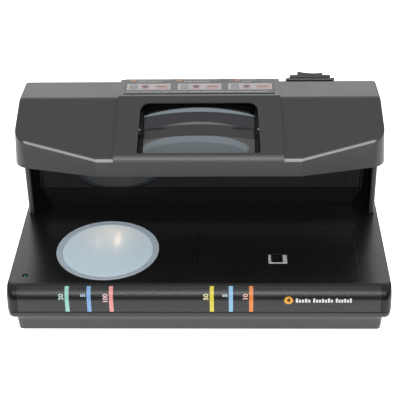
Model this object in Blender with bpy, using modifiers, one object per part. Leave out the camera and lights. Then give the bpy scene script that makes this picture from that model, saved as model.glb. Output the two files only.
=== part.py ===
"""Counterfeit bill detector, built from its separate pieces.

A low base holds a lit disc and a sprung magnetic head in its deck.  A column at the rear holds two
ultraviolet tubes behind a dark window, and carries a head that overhangs the deck.  The head has a
magnifier in a raised panel on its sloping front and a rocker switch on its rear slope.

Metres, +Z up.  The origin is under the middle of the base, -Y is the front.
"""
import math

import bmesh
import bpy
from mathutils import Matrix, Vector

MM = 0.001

# Driving dimensions
WIDTH = 270 * MM
DEPTH = 150 * MM
HALF = WIDTH / 2
FRONT = -DEPTH / 2
BACK = DEPTH / 2
GAP = 0.3 * MM
WALL = 2.4 * MM

FOOT_HEIGHT = 2 * MM
PARTING_Z = 21.5 * MM
DECK_Z = 41 * MM
NOSE_RADIUS = 9.5 * MM
BASE_CORNER = 5 * MM
DECK_DRAFT = 0.6 * MM

DISC_X = -67 * MM
DISC_Y = -25.5 * MM
DISC_RADIUS = 37.3 * MM

PLATE_X = (-1.4 * MM, 114.1 * MM)
PLATE_Y = (-61.2 * MM, 0.5 * MM)
SENSOR_X = 56.4 * MM
SENSOR_Y = -37 * MM

COLUMN_Y = 22.6 * MM
BAY_Y = 35.2 * MM
BAY_LEDGE_Z = 56.5 * MM

HEAD_Z = 95.6 * MM
HEAD_DRAFT = 0.06
FASCIA_Y = -13 * MM
FASCIA_TOP_Z = 108.4 * MM
CREASE_Y = 30 * MM
TOP_Z = 136.5 * MM
TOP_BACK_Y = 56.7 * MM
REAR_EDGE_Z = 124.6 * MM
FASCIA_FLAT = 73 * MM

WINDOW_WIDTH = 86 * MM
WINDOW_LENGTH = 41 * MM
LENS_WIDTH = 80 * MM

SWITCH_X = 82 * MM
ROCKER_TILT = math.radians(3)

# Directions that follow from them
SLOPE_ANGLE = math.atan2(TOP_Z - FASCIA_TOP_Z, CREASE_Y - FASCIA_Y)
REAR_ANGLE = math.atan2(REAR_EDGE_Z - TOP_Z, BACK - TOP_BACK_Y)
INNER_DECK_Z = DECK_Z - WALL

AXIS_TURN = {
    "x": Matrix.Rotation(math.radians(90), 4, "Y"),
    "y": Matrix.Rotation(math.radians(-90), 4, "X"),
    "z": Matrix.Identity(4),
}
# Maps an outline drawn in its own XY to the world's YZ, with its thickness along X.
SIDE_VIEW = Matrix(((0, 0, 1, 0), (1, 0, 0, 0), (0, 1, 0, 0), (0, 0, 0, 1)))


for old in list(bpy.data.objects):
    bpy.data.objects.remove(old, do_unlink=True)

parts = bpy.data.collections.new("bill_detector")
cutters = bpy.data.collections.new("cutters")
bpy.context.scene.collection.children.link(parts)
bpy.context.scene.collection.children.link(cutters)


# Materials

def paint(name, colour, roughness, metallic=0.0):
    """A Principled material in one colour."""
    material = bpy.data.materials.new(name)
    material.use_nodes = True
    shader = material.node_tree.nodes["Principled BSDF"]
    shader.inputs["Base Color"].default_value = (*colour, 1)
    shader.inputs["Roughness"].default_value = roughness
    shader.inputs["Metallic"].default_value = metallic
    material.diffuse_color = (*colour, 1)
    return material


CASE = paint("charcoal_case", (0.085, 0.085, 0.088), 0.42)
DECK = paint("black_deck", (0.022, 0.022, 0.024), 0.38)
BLACK = paint("black_plastic", (0.012, 0.012, 0.013), 0.45)
GLOSS = paint("gloss_label", (0.02, 0.02, 0.022), 0.2)
FILTER = paint("dark_filter", (0.008, 0.009, 0.014), 0.06)
FROST = paint("frosted_diffuser", (0.5, 0.62, 0.7), 0.35)
RIM = paint("grey_rim", (0.3, 0.38, 0.45), 0.35)
WHITE = paint("white_plastic", (0.8, 0.8, 0.78), 0.5)
TUBE = paint("lamp_glass", (0.6, 0.62, 0.75), 0.1)
LENS = paint("clear_lens", (0.55, 0.65, 0.72), 0.04)
METAL = paint("bright_metal", (0.62, 0.63, 0.64), 0.25, 1.0)
BRASS = paint("brass_pin", (0.7, 0.55, 0.28), 0.3, 1.0)
BOARD = paint("board_green", (0.03, 0.16, 0.07), 0.5)
RUBBER = paint("foot_rubber", (0.02, 0.02, 0.02), 0.85)
GREEN = paint("led_green", (0.03, 0.35, 0.14), 0.2)
WARM = paint("warm_lamp", (0.9, 0.8, 0.55), 0.2)
COPPER = paint("winding_copper", (0.55, 0.25, 0.1), 0.35, 1.0)
WIRE = paint("wire_sleeve", (0.06, 0.06, 0.07), 0.5)


# Mesh tools

def place(mesh, name, material, matrix, cutter=False):
    """Put a mesh in the model as a named piece, or among the cutters."""
    obj = bpy.data.objects.new(name, mesh)
    obj.matrix_world = matrix
    if cutter:
        obj.display_type = "WIRE"
        obj.hide_render = True
        cutters.objects.link(obj)
    else:
        mesh.materials.append(material)
        parts.objects.link(obj)
    return obj


def finish_mesh(shape, name, smooth=False):
    """Turn a bmesh into a mesh with its faces pointing out."""
    bmesh.ops.recalc_face_normals(shape, faces=shape.faces)
    mesh = bpy.data.meshes.new(name)
    shape.to_mesh(mesh)
    shape.free()
    if smooth:
        mesh.shade_smooth()
        mesh.set_sharp_from_angle(angle=math.radians(35))
    return mesh


def block(name, size, centre, material=None, turn=None, cutter=False):
    """A box by its size and centre."""
    shape = bmesh.new()
    bmesh.ops.create_cube(shape, size=1)
    bmesh.ops.scale(shape, vec=size, verts=shape.verts)
    matrix = Matrix.Translation(centre) @ (turn or Matrix.Identity(4))
    return place(finish_mesh(shape, name), name, material, matrix, cutter)


def rod(name, radius, length, centre, axis="z", material=None, sides=32, cutter=False, tip=None):
    """A cylinder by its centre, or a cone frustum where tip gives the far radius."""
    shape = bmesh.new()
    far = radius if tip is None else tip
    bmesh.ops.create_cone(shape, cap_ends=True, segments=sides, radius1=radius, radius2=far, depth=length)
    matrix = Matrix.Translation(centre) @ AXIS_TURN[axis]
    return place(finish_mesh(shape, name, True), name, material, matrix, cutter)


def outline_solid(name, points, thickness, matrix, material=None, cutter=False):
    """A flat outline made solid: a filled curve, extruded both ways, turned into a mesh."""
    curve = bpy.data.curves.new(name + "_outline", "CURVE")
    curve.dimensions = "2D"
    curve.fill_mode = "BOTH"
    curve.extrude = thickness / 2
    spline = curve.splines.new("POLY")
    spline.points.add(len(points) - 1)
    for point, (x, y) in zip(spline.points, points):
        point.co = (x, y, 0, 1)
    spline.use_cyclic_u = True
    drawn = bpy.data.objects.new(name + "_outline", curve)
    parts.objects.link(drawn)
    bpy.context.view_layer.update()
    seen = drawn.evaluated_get(bpy.context.evaluated_depsgraph_get())
    shape = bmesh.new()
    shape.from_mesh(bpy.data.meshes.new_from_object(seen))
    bmesh.ops.remove_doubles(shape, verts=shape.verts, dist=0.01 * MM)
    bpy.data.objects.remove(drawn, do_unlink=True)
    return place(finish_mesh(shape, name, True), name, material, matrix, cutter)


def turned(name, profile, centre, material, steps=48):
    """A turned piece: a closed (radius, height) profile, spun about Z."""
    shape = bmesh.new()
    rim = [shape.verts.new((radius, 0, height)) for radius, height in profile]
    edges = [shape.edges.new((rim[i], rim[(i + 1) % len(rim)])) for i in range(len(rim))]
    bmesh.ops.spin(shape, geom=rim + edges, cent=(0, 0, 0), axis=(0, 0, 1), angle=2 * math.pi, steps=steps,
                   use_merge=True, use_duplicate=False)
    bmesh.ops.remove_doubles(shape, verts=shape.verts, dist=0.001 * MM)
    mesh = finish_mesh(shape, name, True)
    return place(mesh, name, material, Matrix.Translation(centre))


def loft(name, rings, material=None, cutter=False):
    """Skin a list of rings, each with the same number of points, and cap both ends."""
    shape = bmesh.new()
    rows = [[shape.verts.new(point) for point in ring] for ring in rings]
    count = len(rows[0])
    for lower, upper in zip(rows, rows[1:]):
        for i in range(count):
            j = (i + 1) % count
            shape.faces.new((lower[i], lower[j], upper[j], upper[i]))
    shape.faces.new(reversed(rows[0]))
    shape.faces.new(rows[-1])
    return place(finish_mesh(shape, name, True), name, material, Matrix.Identity(4), cutter)


def wire(name, points, radius, material):
    """A round wire along a smooth path through the given points."""
    curve = bpy.data.curves.new(name, "CURVE")
    curve.dimensions = "3D"
    curve.bevel_depth = radius
    curve.bevel_resolution = 2
    curve.use_fill_caps = True
    route = smooth_route([Vector(point) for point in points])
    spline = curve.splines.new("POLY")
    spline.points.add(len(route) - 1)
    for point, place_at in zip(spline.points, route):
        point.co = (*place_at, 1)
    obj = bpy.data.objects.new(name, curve)
    curve.materials.append(material)
    parts.objects.link(obj)
    return obj


def smooth_route(points, steps=4):
    """Points of a Catmull-Rom curve through the given ones."""
    route = []
    for i in range(len(points) - 1):
        before = points[max(i - 1, 0)]
        start, end = points[i], points[i + 1]
        after = points[min(i + 2, len(points) - 1)]
        for step in range(steps):
            t = step / steps
            route.append(0.5 * ((2 * start) + (end - before) * t
                                + (2 * before - 5 * start + 4 * end - after) * t ** 2
                                + (3 * start - before - 3 * end + after) * t ** 3))
    route.append(points[-1])
    return route


def combine(obj, tool, operation="DIFFERENCE"):
    """Cut, join or intersect a piece with a tool."""
    modifier = obj.modifiers.new(operation.lower(), "BOOLEAN")
    modifier.operation = operation
    modifier.solver = "EXACT"
    modifier.object = tool
    return modifier


def soften(obj, width, segments=2, degrees=30):
    """Round the edges that are sharper than the given angle."""
    modifier = obj.modifiers.new("soften", "BEVEL")
    modifier.width = width
    modifier.segments = segments
    modifier.limit_method = "ANGLE"
    modifier.angle_limit = math.radians(degrees)


# Outline tools

def arc(centre_x, centre_y, radius, start, end, steps):
    """Points along an arc, angles in degrees."""
    angles = [math.radians(start + (end - start) * i / steps) for i in range(steps + 1)]
    return [(centre_x + radius * math.cos(a), centre_y + radius * math.sin(a)) for a in angles]


def rounded_plan(half_width, front, back, radius, steps=5):
    """A rectangle with rounded corners, anticlockwise from above."""
    right, left = half_width - radius, radius - half_width
    return (arc(right, back - radius, radius, 0, 90, steps)
            + arc(left, back - radius, radius, 90, 180, steps)
            + arc(left, front + radius, radius, 180, 270, steps)
            + arc(right, front + radius, radius, 270, 360, steps))


def filleted(points, radii, steps=6):
    """Round each corner of a closed outline by its own radius."""
    rounded = []
    count = len(points)
    for i, radius in enumerate(radii):
        corner = Vector(points[i])
        if radius == 0:
            rounded.append(tuple(corner))
            continue
        towards_last = (Vector(points[i - 1]) - corner).normalized()
        towards_next = (Vector(points[(i + 1) % count]) - corner).normalized()
        half_angle = towards_last.angle(towards_next) / 2
        centre = corner + (towards_last + towards_next).normalized() * radius / math.sin(half_angle)
        reach = radius / math.tan(half_angle)
        first = corner + towards_last * reach - centre
        last = corner + towards_next * reach - centre
        turn = first.angle_signed(last)
        for step in range(steps + 1):
            spot = centre + Matrix.Rotation(-turn * step / steps, 2) @ first
            rounded.append(tuple(spot))
    return rounded


def offset_path(points, distance, closed=False):
    """Move an outline sideways, to the left of its direction, with mitred corners."""
    count = len(points)
    moved = []
    for i, point in enumerate(points):
        here = Vector(point)
        before = Vector(points[i - 1]) if closed or i > 0 else None
        after = Vector(points[(i + 1) % count]) if closed or i < count - 1 else None
        into = (here - before).normalized() if before is not None else (after - here).normalized()
        out = (after - here).normalized() if after is not None else into
        left_in = Vector((-into.y, into.x))
        left_out = Vector((-out.y, out.x))
        mitre = (left_in + left_out).normalized()
        moved.append(tuple(here + mitre * distance / mitre.dot(left_in)))
    return moved


def flat_ring(outline, z):
    """An outline in plan, at one height."""
    return [(x, y, z) for x, y in outline]


# Base: tray below, deck shell above

BOARD_X, BOARD_Y, BOARD_Z = 48 * MM, 18 * MM, 11 * MM
SCREW_SPOTS = [(x, y) for x in (-117 * MM, 117 * MM) for y in (-57 * MM, 61 * MM)]


def base_ring(inset, z, front_inset=None):
    """The base's plan at one height, pulled in all round, and by its own amount at the front."""
    front = FRONT + (inset if front_inset is None else front_inset)
    radius = BASE_CORNER - 0.35 * inset
    return flat_ring(rounded_plan(HALF - inset, front, BACK - inset, radius), z)


def make_tray():
    """The lower tray: a cove runs round its outside, and raised bosses take the screws."""
    # Each row is an inset and a height in millimetres.
    cove = [(6.4, 2), (5.9, 2.6), (5.7, 5), (5.5, 8), (5.2, 11), (4.7, 13), (3.8, 14.6), (2.4, 15.9),
            (1.2, 16.7), (0.6, 17.3), (0.3, 21.2)]
    inside = [(2.7, 21.2), (2.9, 18.6), (4.6, 16.6), (6.6, 14.2), (7.8, 11), (8.6, 4.4)]
    rings = [base_ring(inset * MM, z * MM) for inset, z in cove + inside]
    tray = loft("bottom_tray", rings, CASE)
    for number, (x, y) in enumerate(SCREW_SPOTS, 1):
        boss = rod(f"tray_boss_{number}", 5.5 * MM, 5.2 * MM, (x, y, 5.6 * MM), cutter=True, sides=24)
        recess = rod(f"tray_recess_{number}", 3.6 * MM, 5 * MM, (x, y, 3.3 * MM), cutter=True, sides=24)
        hole = rod(f"tray_hole_{number}", 1.9 * MM, 12 * MM, (x, y, 6 * MM), cutter=True, sides=16)
        combine(tray, boss, "UNION")
        combine(tray, recess)
        combine(tray, hole)
    board_spots = [(BOARD_X + dx * 54 * MM, BOARD_Y + dy * 26 * MM) for dx in (-1, 1) for dy in (-1, 1)]
    lamp_spots = [(DISC_X + dx * MM, DISC_Y + dy * MM) for dx, dy in ((-17, -10), (17, -10), (0, 18))]
    for number, (x, y) in enumerate(board_spots + lamp_spots, 1):
        low, high = FOOT_HEIGHT + 1 * MM, BOARD_Z - 0.8 * MM - GAP
        post = rod(f"tray_post_{number}", 2.6 * MM, high - low, (x, y, (low + high) / 2), cutter=True,
                   sides=16)
        combine(tray, post, "UNION")


def nose_path(offset):
    """The front of the base from the parting line up and over to the deck, in (y, z)."""
    centre_y = FRONT + NOSE_RADIUS
    centre_z = DECK_Z - NOSE_RADIUS
    face = (FRONT - offset, PARTING_Z + 0.8 * MM)
    return [face] + arc(centre_y, centre_z, NOSE_RADIUS + offset, 180, 110, 8)


def make_deck():
    """The upper shell of the base: nose, deck and skirts, with its pockets and screw posts."""
    rings = []
    edge_radius = 1.6 * MM
    levels = [0, 15, 30, 45, 60, 75, 90]
    for inset in (WALL, 0):
        shell = []
        shell.append(base_ring(inset, PARTING_Z))
        for degrees in levels:
            rise = math.sin(math.radians(degrees))
            back = 1 - math.cos(math.radians(degrees))
            nose = NOSE_RADIUS - inset
            z = DECK_Z - NOSE_RADIUS + nose * rise
            below_edge = DECK_Z - inset - z
            side = DECK_DRAFT * (z - PARTING_Z) / (DECK_Z - PARTING_Z)
            if below_edge < edge_radius:
                side += edge_radius - math.sqrt(edge_radius ** 2 - (edge_radius - below_edge) ** 2)
            shell.append(base_ring(inset + side, z, inset + nose * back))
        rings.append(shell)
    inner, outer = rings
    deck = loft("deck_shell", inner[::-1] + outer, DECK)
    for number, (x, y) in enumerate(SCREW_SPOTS, 1):
        low, high = 8.6 * MM, INNER_DECK_Z + 1 * MM
        post = rod(f"deck_post_{number}", 4.2 * MM, high - low, (x, y, (low + high) / 2), cutter=True,
                   sides=24)
        pilot = rod(f"deck_pilot_{number}", 1.8 * MM, 14 * MM, (x, y, low + 5 * MM), cutter=True, sides=16)
        combine(deck, post, "UNION")
        combine(deck, pilot)
    disc_seat = rod("disc_seat_cut", DISC_RADIUS + GAP, 4 * MM, (DISC_X, DISC_Y, DECK_Z + 1 * MM), cutter=True,
                    sides=72)
    disc_hole = rod("disc_hole_cut", 35.6 * MM, 20 * MM, (DISC_X, DISC_Y, DECK_Z), cutter=True, sides=72)
    combine(deck, disc_seat)
    combine(deck, disc_hole)
    plate_width, plate_depth = PLATE_X[1] - PLATE_X[0], PLATE_Y[1] - PLATE_Y[0]
    pocket = filleted([(PLATE_X[0], PLATE_Y[0]), (PLATE_X[1], PLATE_Y[0]), (PLATE_X[1], PLATE_Y[1]),
                       (PLATE_X[0], PLATE_Y[1])], [3 * MM] * 4, 4)
    pocket_cut = outline_solid("plate_pocket_cut", pocket, 2.4 * MM, Matrix.Translation((0, 0, DECK_Z)),
                               cutter=True)
    under_plate = block("plate_hole_cut", (plate_width - 12 * MM, plate_depth - 12 * MM, 12 * MM),
                        (sum(PLATE_X) / 2, sum(PLATE_Y) / 2, DECK_Z), cutter=True)
    combine(deck, pocket_cut)
    combine(deck, under_plate)
    led_hole = rod("led_hole_cut", 1.8 * MM, 12 * MM, (-122.8 * MM, -57.4 * MM, DECK_Z), cutter=True,
                   sides=20)
    combine(deck, led_hole)
    duct = block("duct_cut", (150 * MM, 18 * MM, 12 * MM), (0, 57 * MM, DECK_Z), cutter=True)
    combine(deck, duct)
    label_seat = outline_solid("label_seat_cut", nose_path(2 * MM) + nose_path(-0.5 * MM)[::-1],
                               2 * 127.3 * MM, SIDE_VIEW, cutter=True)
    combine(deck, label_seat)
    return deck


def make_front_label():
    """The film stuck in the shallow seat round the nose."""
    film = nose_path(-0.02 * MM) + nose_path(-0.2 * MM)[::-1]
    outline_solid("front_label", film, 2 * 127 * MM, SIDE_VIEW, GLOSS)


def make_feet_and_screws():
    """Rubber feet stuck under the tray, and the screws that hold tray and deck together."""
    for number, (x, y) in enumerate([(sx * 106 * MM, sy * 52 * MM) for sx in (-1, 1) for sy in (-1, 1)], 1):
        foot = rod(f"rubber_foot_{number}", 7 * MM, FOOT_HEIGHT - GAP, (x, y, (FOOT_HEIGHT - GAP) / 2),
                   material=RUBBER, sides=24)
        soften(foot, 0.4 * MM, 1)
    for number, (x, y) in enumerate(SCREW_SPOTS, 1):
        profile = [(0, 0), (3.1, 0), (3.1, 1.8), (1.5, 1.9), (1.5, 12), (0.9, 13), (0, 13)]
        screw(f"base_screw_{number}", (x, y, 3.6 * MM), profile, "z", 1)


def screw(name, centre, profile, axis, direction):
    """A turned screw: solid of revolution about its own axis, head first."""
    shape = bmesh.new()
    sides = 20
    rows = []
    for radius, height in profile:
        if radius == 0:
            rows.append([shape.verts.new((0, 0, height * MM))])
            continue
        rows.append([shape.verts.new((radius * MM * math.cos(2 * math.pi * i / sides),
                                      radius * MM * math.sin(2 * math.pi * i / sides), height * MM))
                     for i in range(sides)])
    for lower, upper in zip(rows, rows[1:]):
        for i in range(sides):
            j = (i + 1) % sides
            corners = [lower[i % len(lower)], lower[j % len(lower)],
                       upper[j % len(upper)], upper[i % len(upper)]]
            shape.faces.new(list(dict.fromkeys(corners)))
    flip = Matrix.Rotation(math.pi, 4, "X") if direction < 0 else Matrix.Identity(4)
    matrix = Matrix.Translation(centre) @ AXIS_TURN[axis] @ flip
    return place(finish_mesh(shape, name, True), name, METAL, matrix)


# Deck inserts: lit disc, sensor plate, magnetic head, indicator

def make_disc():
    """The frosted disc in its rim, and the lamps, cup and board below it."""
    spot = (DISC_X, DISC_Y, 0)
    top = DECK_Z + 0.4 * MM
    ledge = DECK_Z - 1 * MM + GAP
    turned("disc_rim", [(33.2 * MM, top - 0.4 * MM), (33.6 * MM, top), (36.9 * MM, top), (DISC_RADIUS, top - 0.3 * MM),
                        (DISC_RADIUS, ledge), (35.2 * MM, ledge), (35.2 * MM, 35.5 * MM), (33.2 * MM, 35.5 * MM)],
           spot, RIM, 64)
    rod("disc_diffuser", 32.9 * MM, 2.2 * MM, (DISC_X, DISC_Y, DECK_Z - 1.2 * MM), material=FROST, sides=64)
    turned("lamp_cup", [(31 * MM, 35.2 * MM), (35.2 * MM, 35.2 * MM), (35.2 * MM, 34.2 * MM), (32.2 * MM, 34.2 * MM),
                        (27.6 * MM, 13.6 * MM), (3 * MM, 13.6 * MM), (3 * MM, 15 * MM), (26.6 * MM, 15 * MM)],
           spot, WHITE, 40)
    rod("lamp_board", 24 * MM, 1.6 * MM, (DISC_X, DISC_Y, BOARD_Z), material=BOARD, sides=36)
    rod("lamp_bulb", 2.5 * MM, 7 * MM, (DISC_X, DISC_Y, BOARD_Z + 4.6 * MM), material=WARM, sides=20, tip=1.6 * MM)


def make_sensor():
    """The thin plate let into the deck, and the sprung magnetic head that shows through it."""
    inset = GAP
    corners = [(PLATE_X[0] + inset, PLATE_Y[0] + inset), (PLATE_X[1] - inset, PLATE_Y[0] + inset),
               (PLATE_X[1] - inset, PLATE_Y[1] - inset), (PLATE_X[0] + inset, PLATE_Y[1] - inset)]
    plate = outline_solid("sensor_plate", filleted(corners, [2.7 * MM] * 4, 4), 0.6 * MM,
                          Matrix.Translation((0, 0, DECK_Z - 0.6 * MM)), DECK)
    window = block("sensor_window_cut", (14.6 * MM, 11.4 * MM, 8 * MM), (SENSOR_X, SENSOR_Y, DECK_Z), cutter=True)
    combine(plate, window)

    frame_top = DECK_Z - 0.2 * MM
    case_height = 9 * MM
    case = block("magnetic_head", (13.4 * MM, 10.2 * MM, case_height),
                 (SENSOR_X, SENSOR_Y, frame_top - case_height / 2), METAL)
    slot = block("head_slot_cut", (8.4 * MM, 8.6 * MM, 8 * MM),
                 (SENSOR_X - 0.6 * MM, SENSOR_Y + 0.3 * MM, frame_top), cutter=True)
    combine(case, slot)
    core = block("head_core", (7.8 * MM, 8 * MM, 3.4 * MM), (SENSOR_X - 0.6 * MM, SENSOR_Y + 0.3 * MM,
                                                            frame_top - 2 * MM), BLACK)
    soften(core, 0.4 * MM, 2)

    holder_top = DECK_Z - 0.9 * MM - GAP
    holder_height, holder_floor = 14 * MM, 2 * MM
    holder = block("head_holder", (20 * MM, 17 * MM, holder_height),
                   (SENSOR_X, SENSOR_Y, holder_top - holder_height / 2), BLACK)
    well = block("holder_well_cut", (14 * MM, 10.8 * MM, holder_height),
                 (SENSOR_X, SENSOR_Y, holder_top - holder_height / 2 + holder_floor), cutter=True)
    combine(holder, well)
    spring_low = holder_top - holder_height + holder_floor + GAP
    spring_high = frame_top - case_height - GAP
    coil = []
    turns, per_turn, radius = 2.5, 12, 2.6 * MM
    for i in range(int(turns * per_turn) + 1):
        angle = 2 * math.pi * i / per_turn
        rise = (spring_high - spring_low - 0.8 * MM) * i / (turns * per_turn)
        coil.append(Vector((SENSOR_X + radius * math.cos(angle), SENSOR_Y + radius * math.sin(angle),
                            spring_low + 0.4 * MM + rise)))
    spring = bpy.data.curves.new("head_spring", "CURVE")
    spring.dimensions = "3D"
    spring.bevel_depth = 0.4 * MM
    spring.bevel_resolution = 1
    spring.use_fill_caps = True
    line = spring.splines.new("POLY")
    line.points.add(len(coil) - 1)
    for point, at in zip(line.points, coil):
        point.co = (*at, 1)
    spring.materials.append(METAL)
    parts.objects.link(bpy.data.objects.new("head_spring", spring))


def make_indicator():
    """The green indicator that shows through the deck's front corner."""
    centre = (-122.8 * MM, -57.4 * MM, 0)
    profile = [(0, 27), (1.5, 27), (1.5, 40.6), (1.2, 41.1), (0.6, 41.4), (0, 41.4)]
    lamp = screw("indicator_led", centre, profile, "z", 1)
    lamp.data.materials[0] = GREEN


def make_electronics():
    """The main board with its transformer, sounder and connector, in the base."""
    block("main_board", (118 * MM, 62 * MM, 1.6 * MM), (BOARD_X, BOARD_Y, BOARD_Z), BOARD)
    on_board = BOARD_Z + 0.8 * MM + GAP
    spot = (80 * MM, 26 * MM, on_board + 10 * MM)
    core = block("transformer_core", (34 * MM, 28 * MM, 20 * MM), spot, METAL)
    bay = block("winding_bay_cut", (20 * MM, 40 * MM, 12 * MM), spot, cutter=True)
    combine(core, bay)
    winding = block("transformer_winding", (19 * MM, 34 * MM, 11 * MM), spot, COPPER)
    soften(winding, 2.5 * MM, 2)
    rod("sounder", 6 * MM, 7 * MM, (22 * MM, 4 * MM, on_board + 3.5 * MM), material=BLACK, sides=28)


# Column: side walls, bay wall, lamp window, lamps and rear cover

def head_side_x(y):
    """Half the head's width at a depth: it tapers to the rear."""
    return 134.5 * MM - 0.033 * (y - 5 * MM)


COLUMN_INSET = 2.2 * MM


def make_side_walls():
    """The two uprights that carry the head."""
    for side, name in ((-1, "side_wall_left"), (1, "side_wall_right")):
        rear = BACK - 3.4 * MM
        outer = [head_side_x(COLUMN_Y) - COLUMN_INSET, head_side_x(rear) - COLUMN_INSET]
        plan = [(outer[0], COLUMN_Y), (outer[1], rear), (outer[1] - 3.6 * MM, rear), (outer[0] - 4 * MM, COLUMN_Y)]
        if side > 0:
            plan = filleted(plan, [1.2 * MM, 0, 0, 0.8 * MM], 3)
        else:
            plan = [(-x, y) for x, y in filleted(plan, [1.2 * MM, 0, 0, 0.8 * MM], 3)][::-1]
        low, high = DECK_Z + GAP, HEAD_Z - GAP
        outline_solid(name, plan, high - low, Matrix.Translation((0, 0, (low + high) / 2)), CASE)


def bay_half():
    """Half the bay's clear width between the side walls, at its rear."""
    return head_side_x(BAY_Y) - COLUMN_INSET - 4.4 * MM - GAP


def make_bay():
    """The wall at the back of the bay, with its sloping corner facets, and the dark lamp window in it."""
    low, high = DECK_Z + GAP, HEAD_Z - GAP
    half = bay_half()
    wall = block("bay_wall", (2 * half, 2 * MM, high - low), (0, BAY_Y + 1 * MM, (low + high) / 2), BLACK)
    clear = 0.2 * MM
    for side, hand in ((-1, "left"), (1, "right")):
        edge, rear = side * (half - clear), BAY_Y + 1.5 * MM
        foot = [(edge, COLUMN_Y + 3 * MM), (edge, rear), (side * 114 * MM, rear)]
        brow = [(edge, COLUMN_Y + 3 * MM), (edge, rear), (side * 122.6 * MM, rear)]
        facet = loft(f"bay_facet_{hand}", [flat_ring(foot, low + clear), flat_ring(brow, BAY_LEDGE_Z),
                                           flat_ring(brow, high - clear)], cutter=True)
        combine(wall, facet, "UNION")
    opening = block("lamp_opening_cut", (2 * 121 * MM, 8 * MM, 38.6 * MM), (0, BAY_Y, BAY_LEDGE_Z + 19.3 * MM),
                    cutter=True)
    combine(wall, opening)
    window = block("lamp_window", (2 * 120.6 * MM, 2 * MM, 38 * MM), (0, BAY_Y + 0.6 * MM, BAY_LEDGE_Z + 19.3 * MM),
                   FILTER)
    soften(window, 0.4 * MM, 2)


TUBE_Y = 49 * MM
TUBE_LEVELS = {"lower": 67 * MM, "upper": 85 * MM}


def make_lamps():
    """Two ultraviolet tubes with their caps, the sockets that hold them and the sheet reflector."""
    glass_length, cap_length = 198 * MM, 7 * MM
    for name, z in TUBE_LEVELS.items():
        rod(f"uv_tube_{name}", 7.6 * MM, glass_length, (0, TUBE_Y, z), "x", TUBE, sides=28)
        for side, hand in ((-1, "left"), (1, "right")):
            x = side * (glass_length / 2 + GAP + cap_length / 2)
            rod(f"tube_cap_{name}_{hand}", 7.9 * MM, cap_length, (x, TUBE_Y, z), "x", METAL, sides=28)
    middle = sum(TUBE_LEVELS.values()) / 2
    for side, hand in ((-1, "left"), (1, "right")):
        x = side * (glass_length / 2 + cap_length + 2 * GAP + 3.5 * MM)
        socket = block(f"lamp_socket_{hand}", (7 * MM, 18 * MM, 38 * MM), (x, TUBE_Y, middle), WHITE)
        soften(socket, 1.2 * MM, 2)
    face = [(TUBE_Y + 2 * MM, 95 * MM), (TUBE_Y + 9 * MM, 91 * MM), (TUBE_Y + 9 * MM, 61 * MM),
            (TUBE_Y + 2 * MM, 57 * MM)]
    sheet = face + offset_path(face, 0.6 * MM)[::-1]
    outline_solid("lamp_reflector", sheet, 196 * MM, SIDE_VIEW, METAL)


def make_rear_cover():
    """The rear cover with its cooling slots, the mains inlet in it and the screws that hold it."""
    low, high = DECK_Z + GAP, HEAD_Z - GAP
    half = head_side_x(BACK) - COLUMN_INSET
    rear = BACK - 0.4 * MM
    thick = 2.4 * MM
    cover = block("rear_cover", (2 * half, thick, high - low), (0, rear - thick / 2, (low + high) / 2), CASE)
    soften(cover, 0.6 * MM, 1)
    for number in range(9):
        slot = filleted([(-1.5 * MM, -13 * MM), (1.5 * MM, -13 * MM), (1.5 * MM, 13 * MM), (-1.5 * MM, 13 * MM)],
                        [1.4 * MM] * 4, 3)
        x = (number - 4) * 9 * MM - 20 * MM
        matrix = Matrix.Translation((x, rear, 76 * MM)) @ Matrix.Rotation(math.radians(90), 4, "X")
        combine(cover, outline_solid(f"vent_cut_{number + 1}", slot, 12 * MM, matrix, cutter=True))
    inlet_x, inlet_z = 92 * MM, 52 * MM
    hole = block("inlet_hole_cut", (22.6 * MM, 12 * MM, 14.6 * MM), (inlet_x, rear, inlet_z), cutter=True)
    combine(cover, hole)
    inlet = block("mains_inlet", (22 * MM, 14 * MM, 14 * MM), (inlet_x, rear + 0.2 * MM - 7 * MM, inlet_z), BLACK)
    recess = filleted([(-8.6 * MM, -4.4 * MM), (8.6 * MM, -4.4 * MM), (8.6 * MM, 4.4 * MM), (-8.6 * MM, 4.4 * MM)],
                      [4.2 * MM] * 4, 5)
    matrix = Matrix.Translation((inlet_x, rear, inlet_z)) @ Matrix.Rotation(math.radians(90), 4, "X")
    combine(inlet, outline_solid("inlet_recess_cut", recess, 20 * MM, matrix, cutter=True))
    for number, side in enumerate((-1, 1), 1):
        pin = rod(f"inlet_pin_{number}", 1.2 * MM, 8 * MM, (inlet_x + side * 4.3 * MM, rear - 5.5 * MM, inlet_z), "y",
                  BRASS, sides=16)
        pin.data.shade_smooth()
    heads = [(side * 116 * MM, z) for side in (-1, 1) for z in (48 * MM, 90 * MM)]
    for number, (x, z) in enumerate(heads, 1):
        bore = rod(f"cover_bore_{number}", 1.8 * MM, 12 * MM, (x, rear, z), "y", cutter=True, sides=16)
        seat = rod(f"cover_seat_{number}", 3.4 * MM, 2.4 * MM, (x, rear, z), "y", cutter=True, sides=24)
        combine(cover, bore)
        combine(cover, seat)
        profile = [(0, 0), (2.2, 0), (2.9, 0.7), (2.9, 1.0), (1.4, 1.05), (1.4, 7.6), (0.8, 8.4), (0, 8.4)]
        screw(f"cover_screw_{number}", (x, rear + 0.2 * MM, z), profile, "y", -1)


# Head: shell, underside, window panel, magnifier, label

def head_plan(inset):
    """The head's outline from above, anticlockwise."""
    corner_x = head_side_x(1.7 * MM)
    corner_y = FASCIA_Y + 0.2324 * (corner_x - FASCIA_FLAT)
    rear_x = head_side_x(BACK)
    right = [(FASCIA_FLAT, FASCIA_Y), (corner_x, corner_y), (rear_x, BACK)]
    left = [(-x, y) for x, y in reversed(right)]
    corners = offset_path(right + left, inset, closed=True)
    reach = max(12 * MM - inset, 2 * MM)
    return filleted(corners, [9 * MM, reach, 5 * MM, 5 * MM, reach, 9 * MM], 7)


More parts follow.
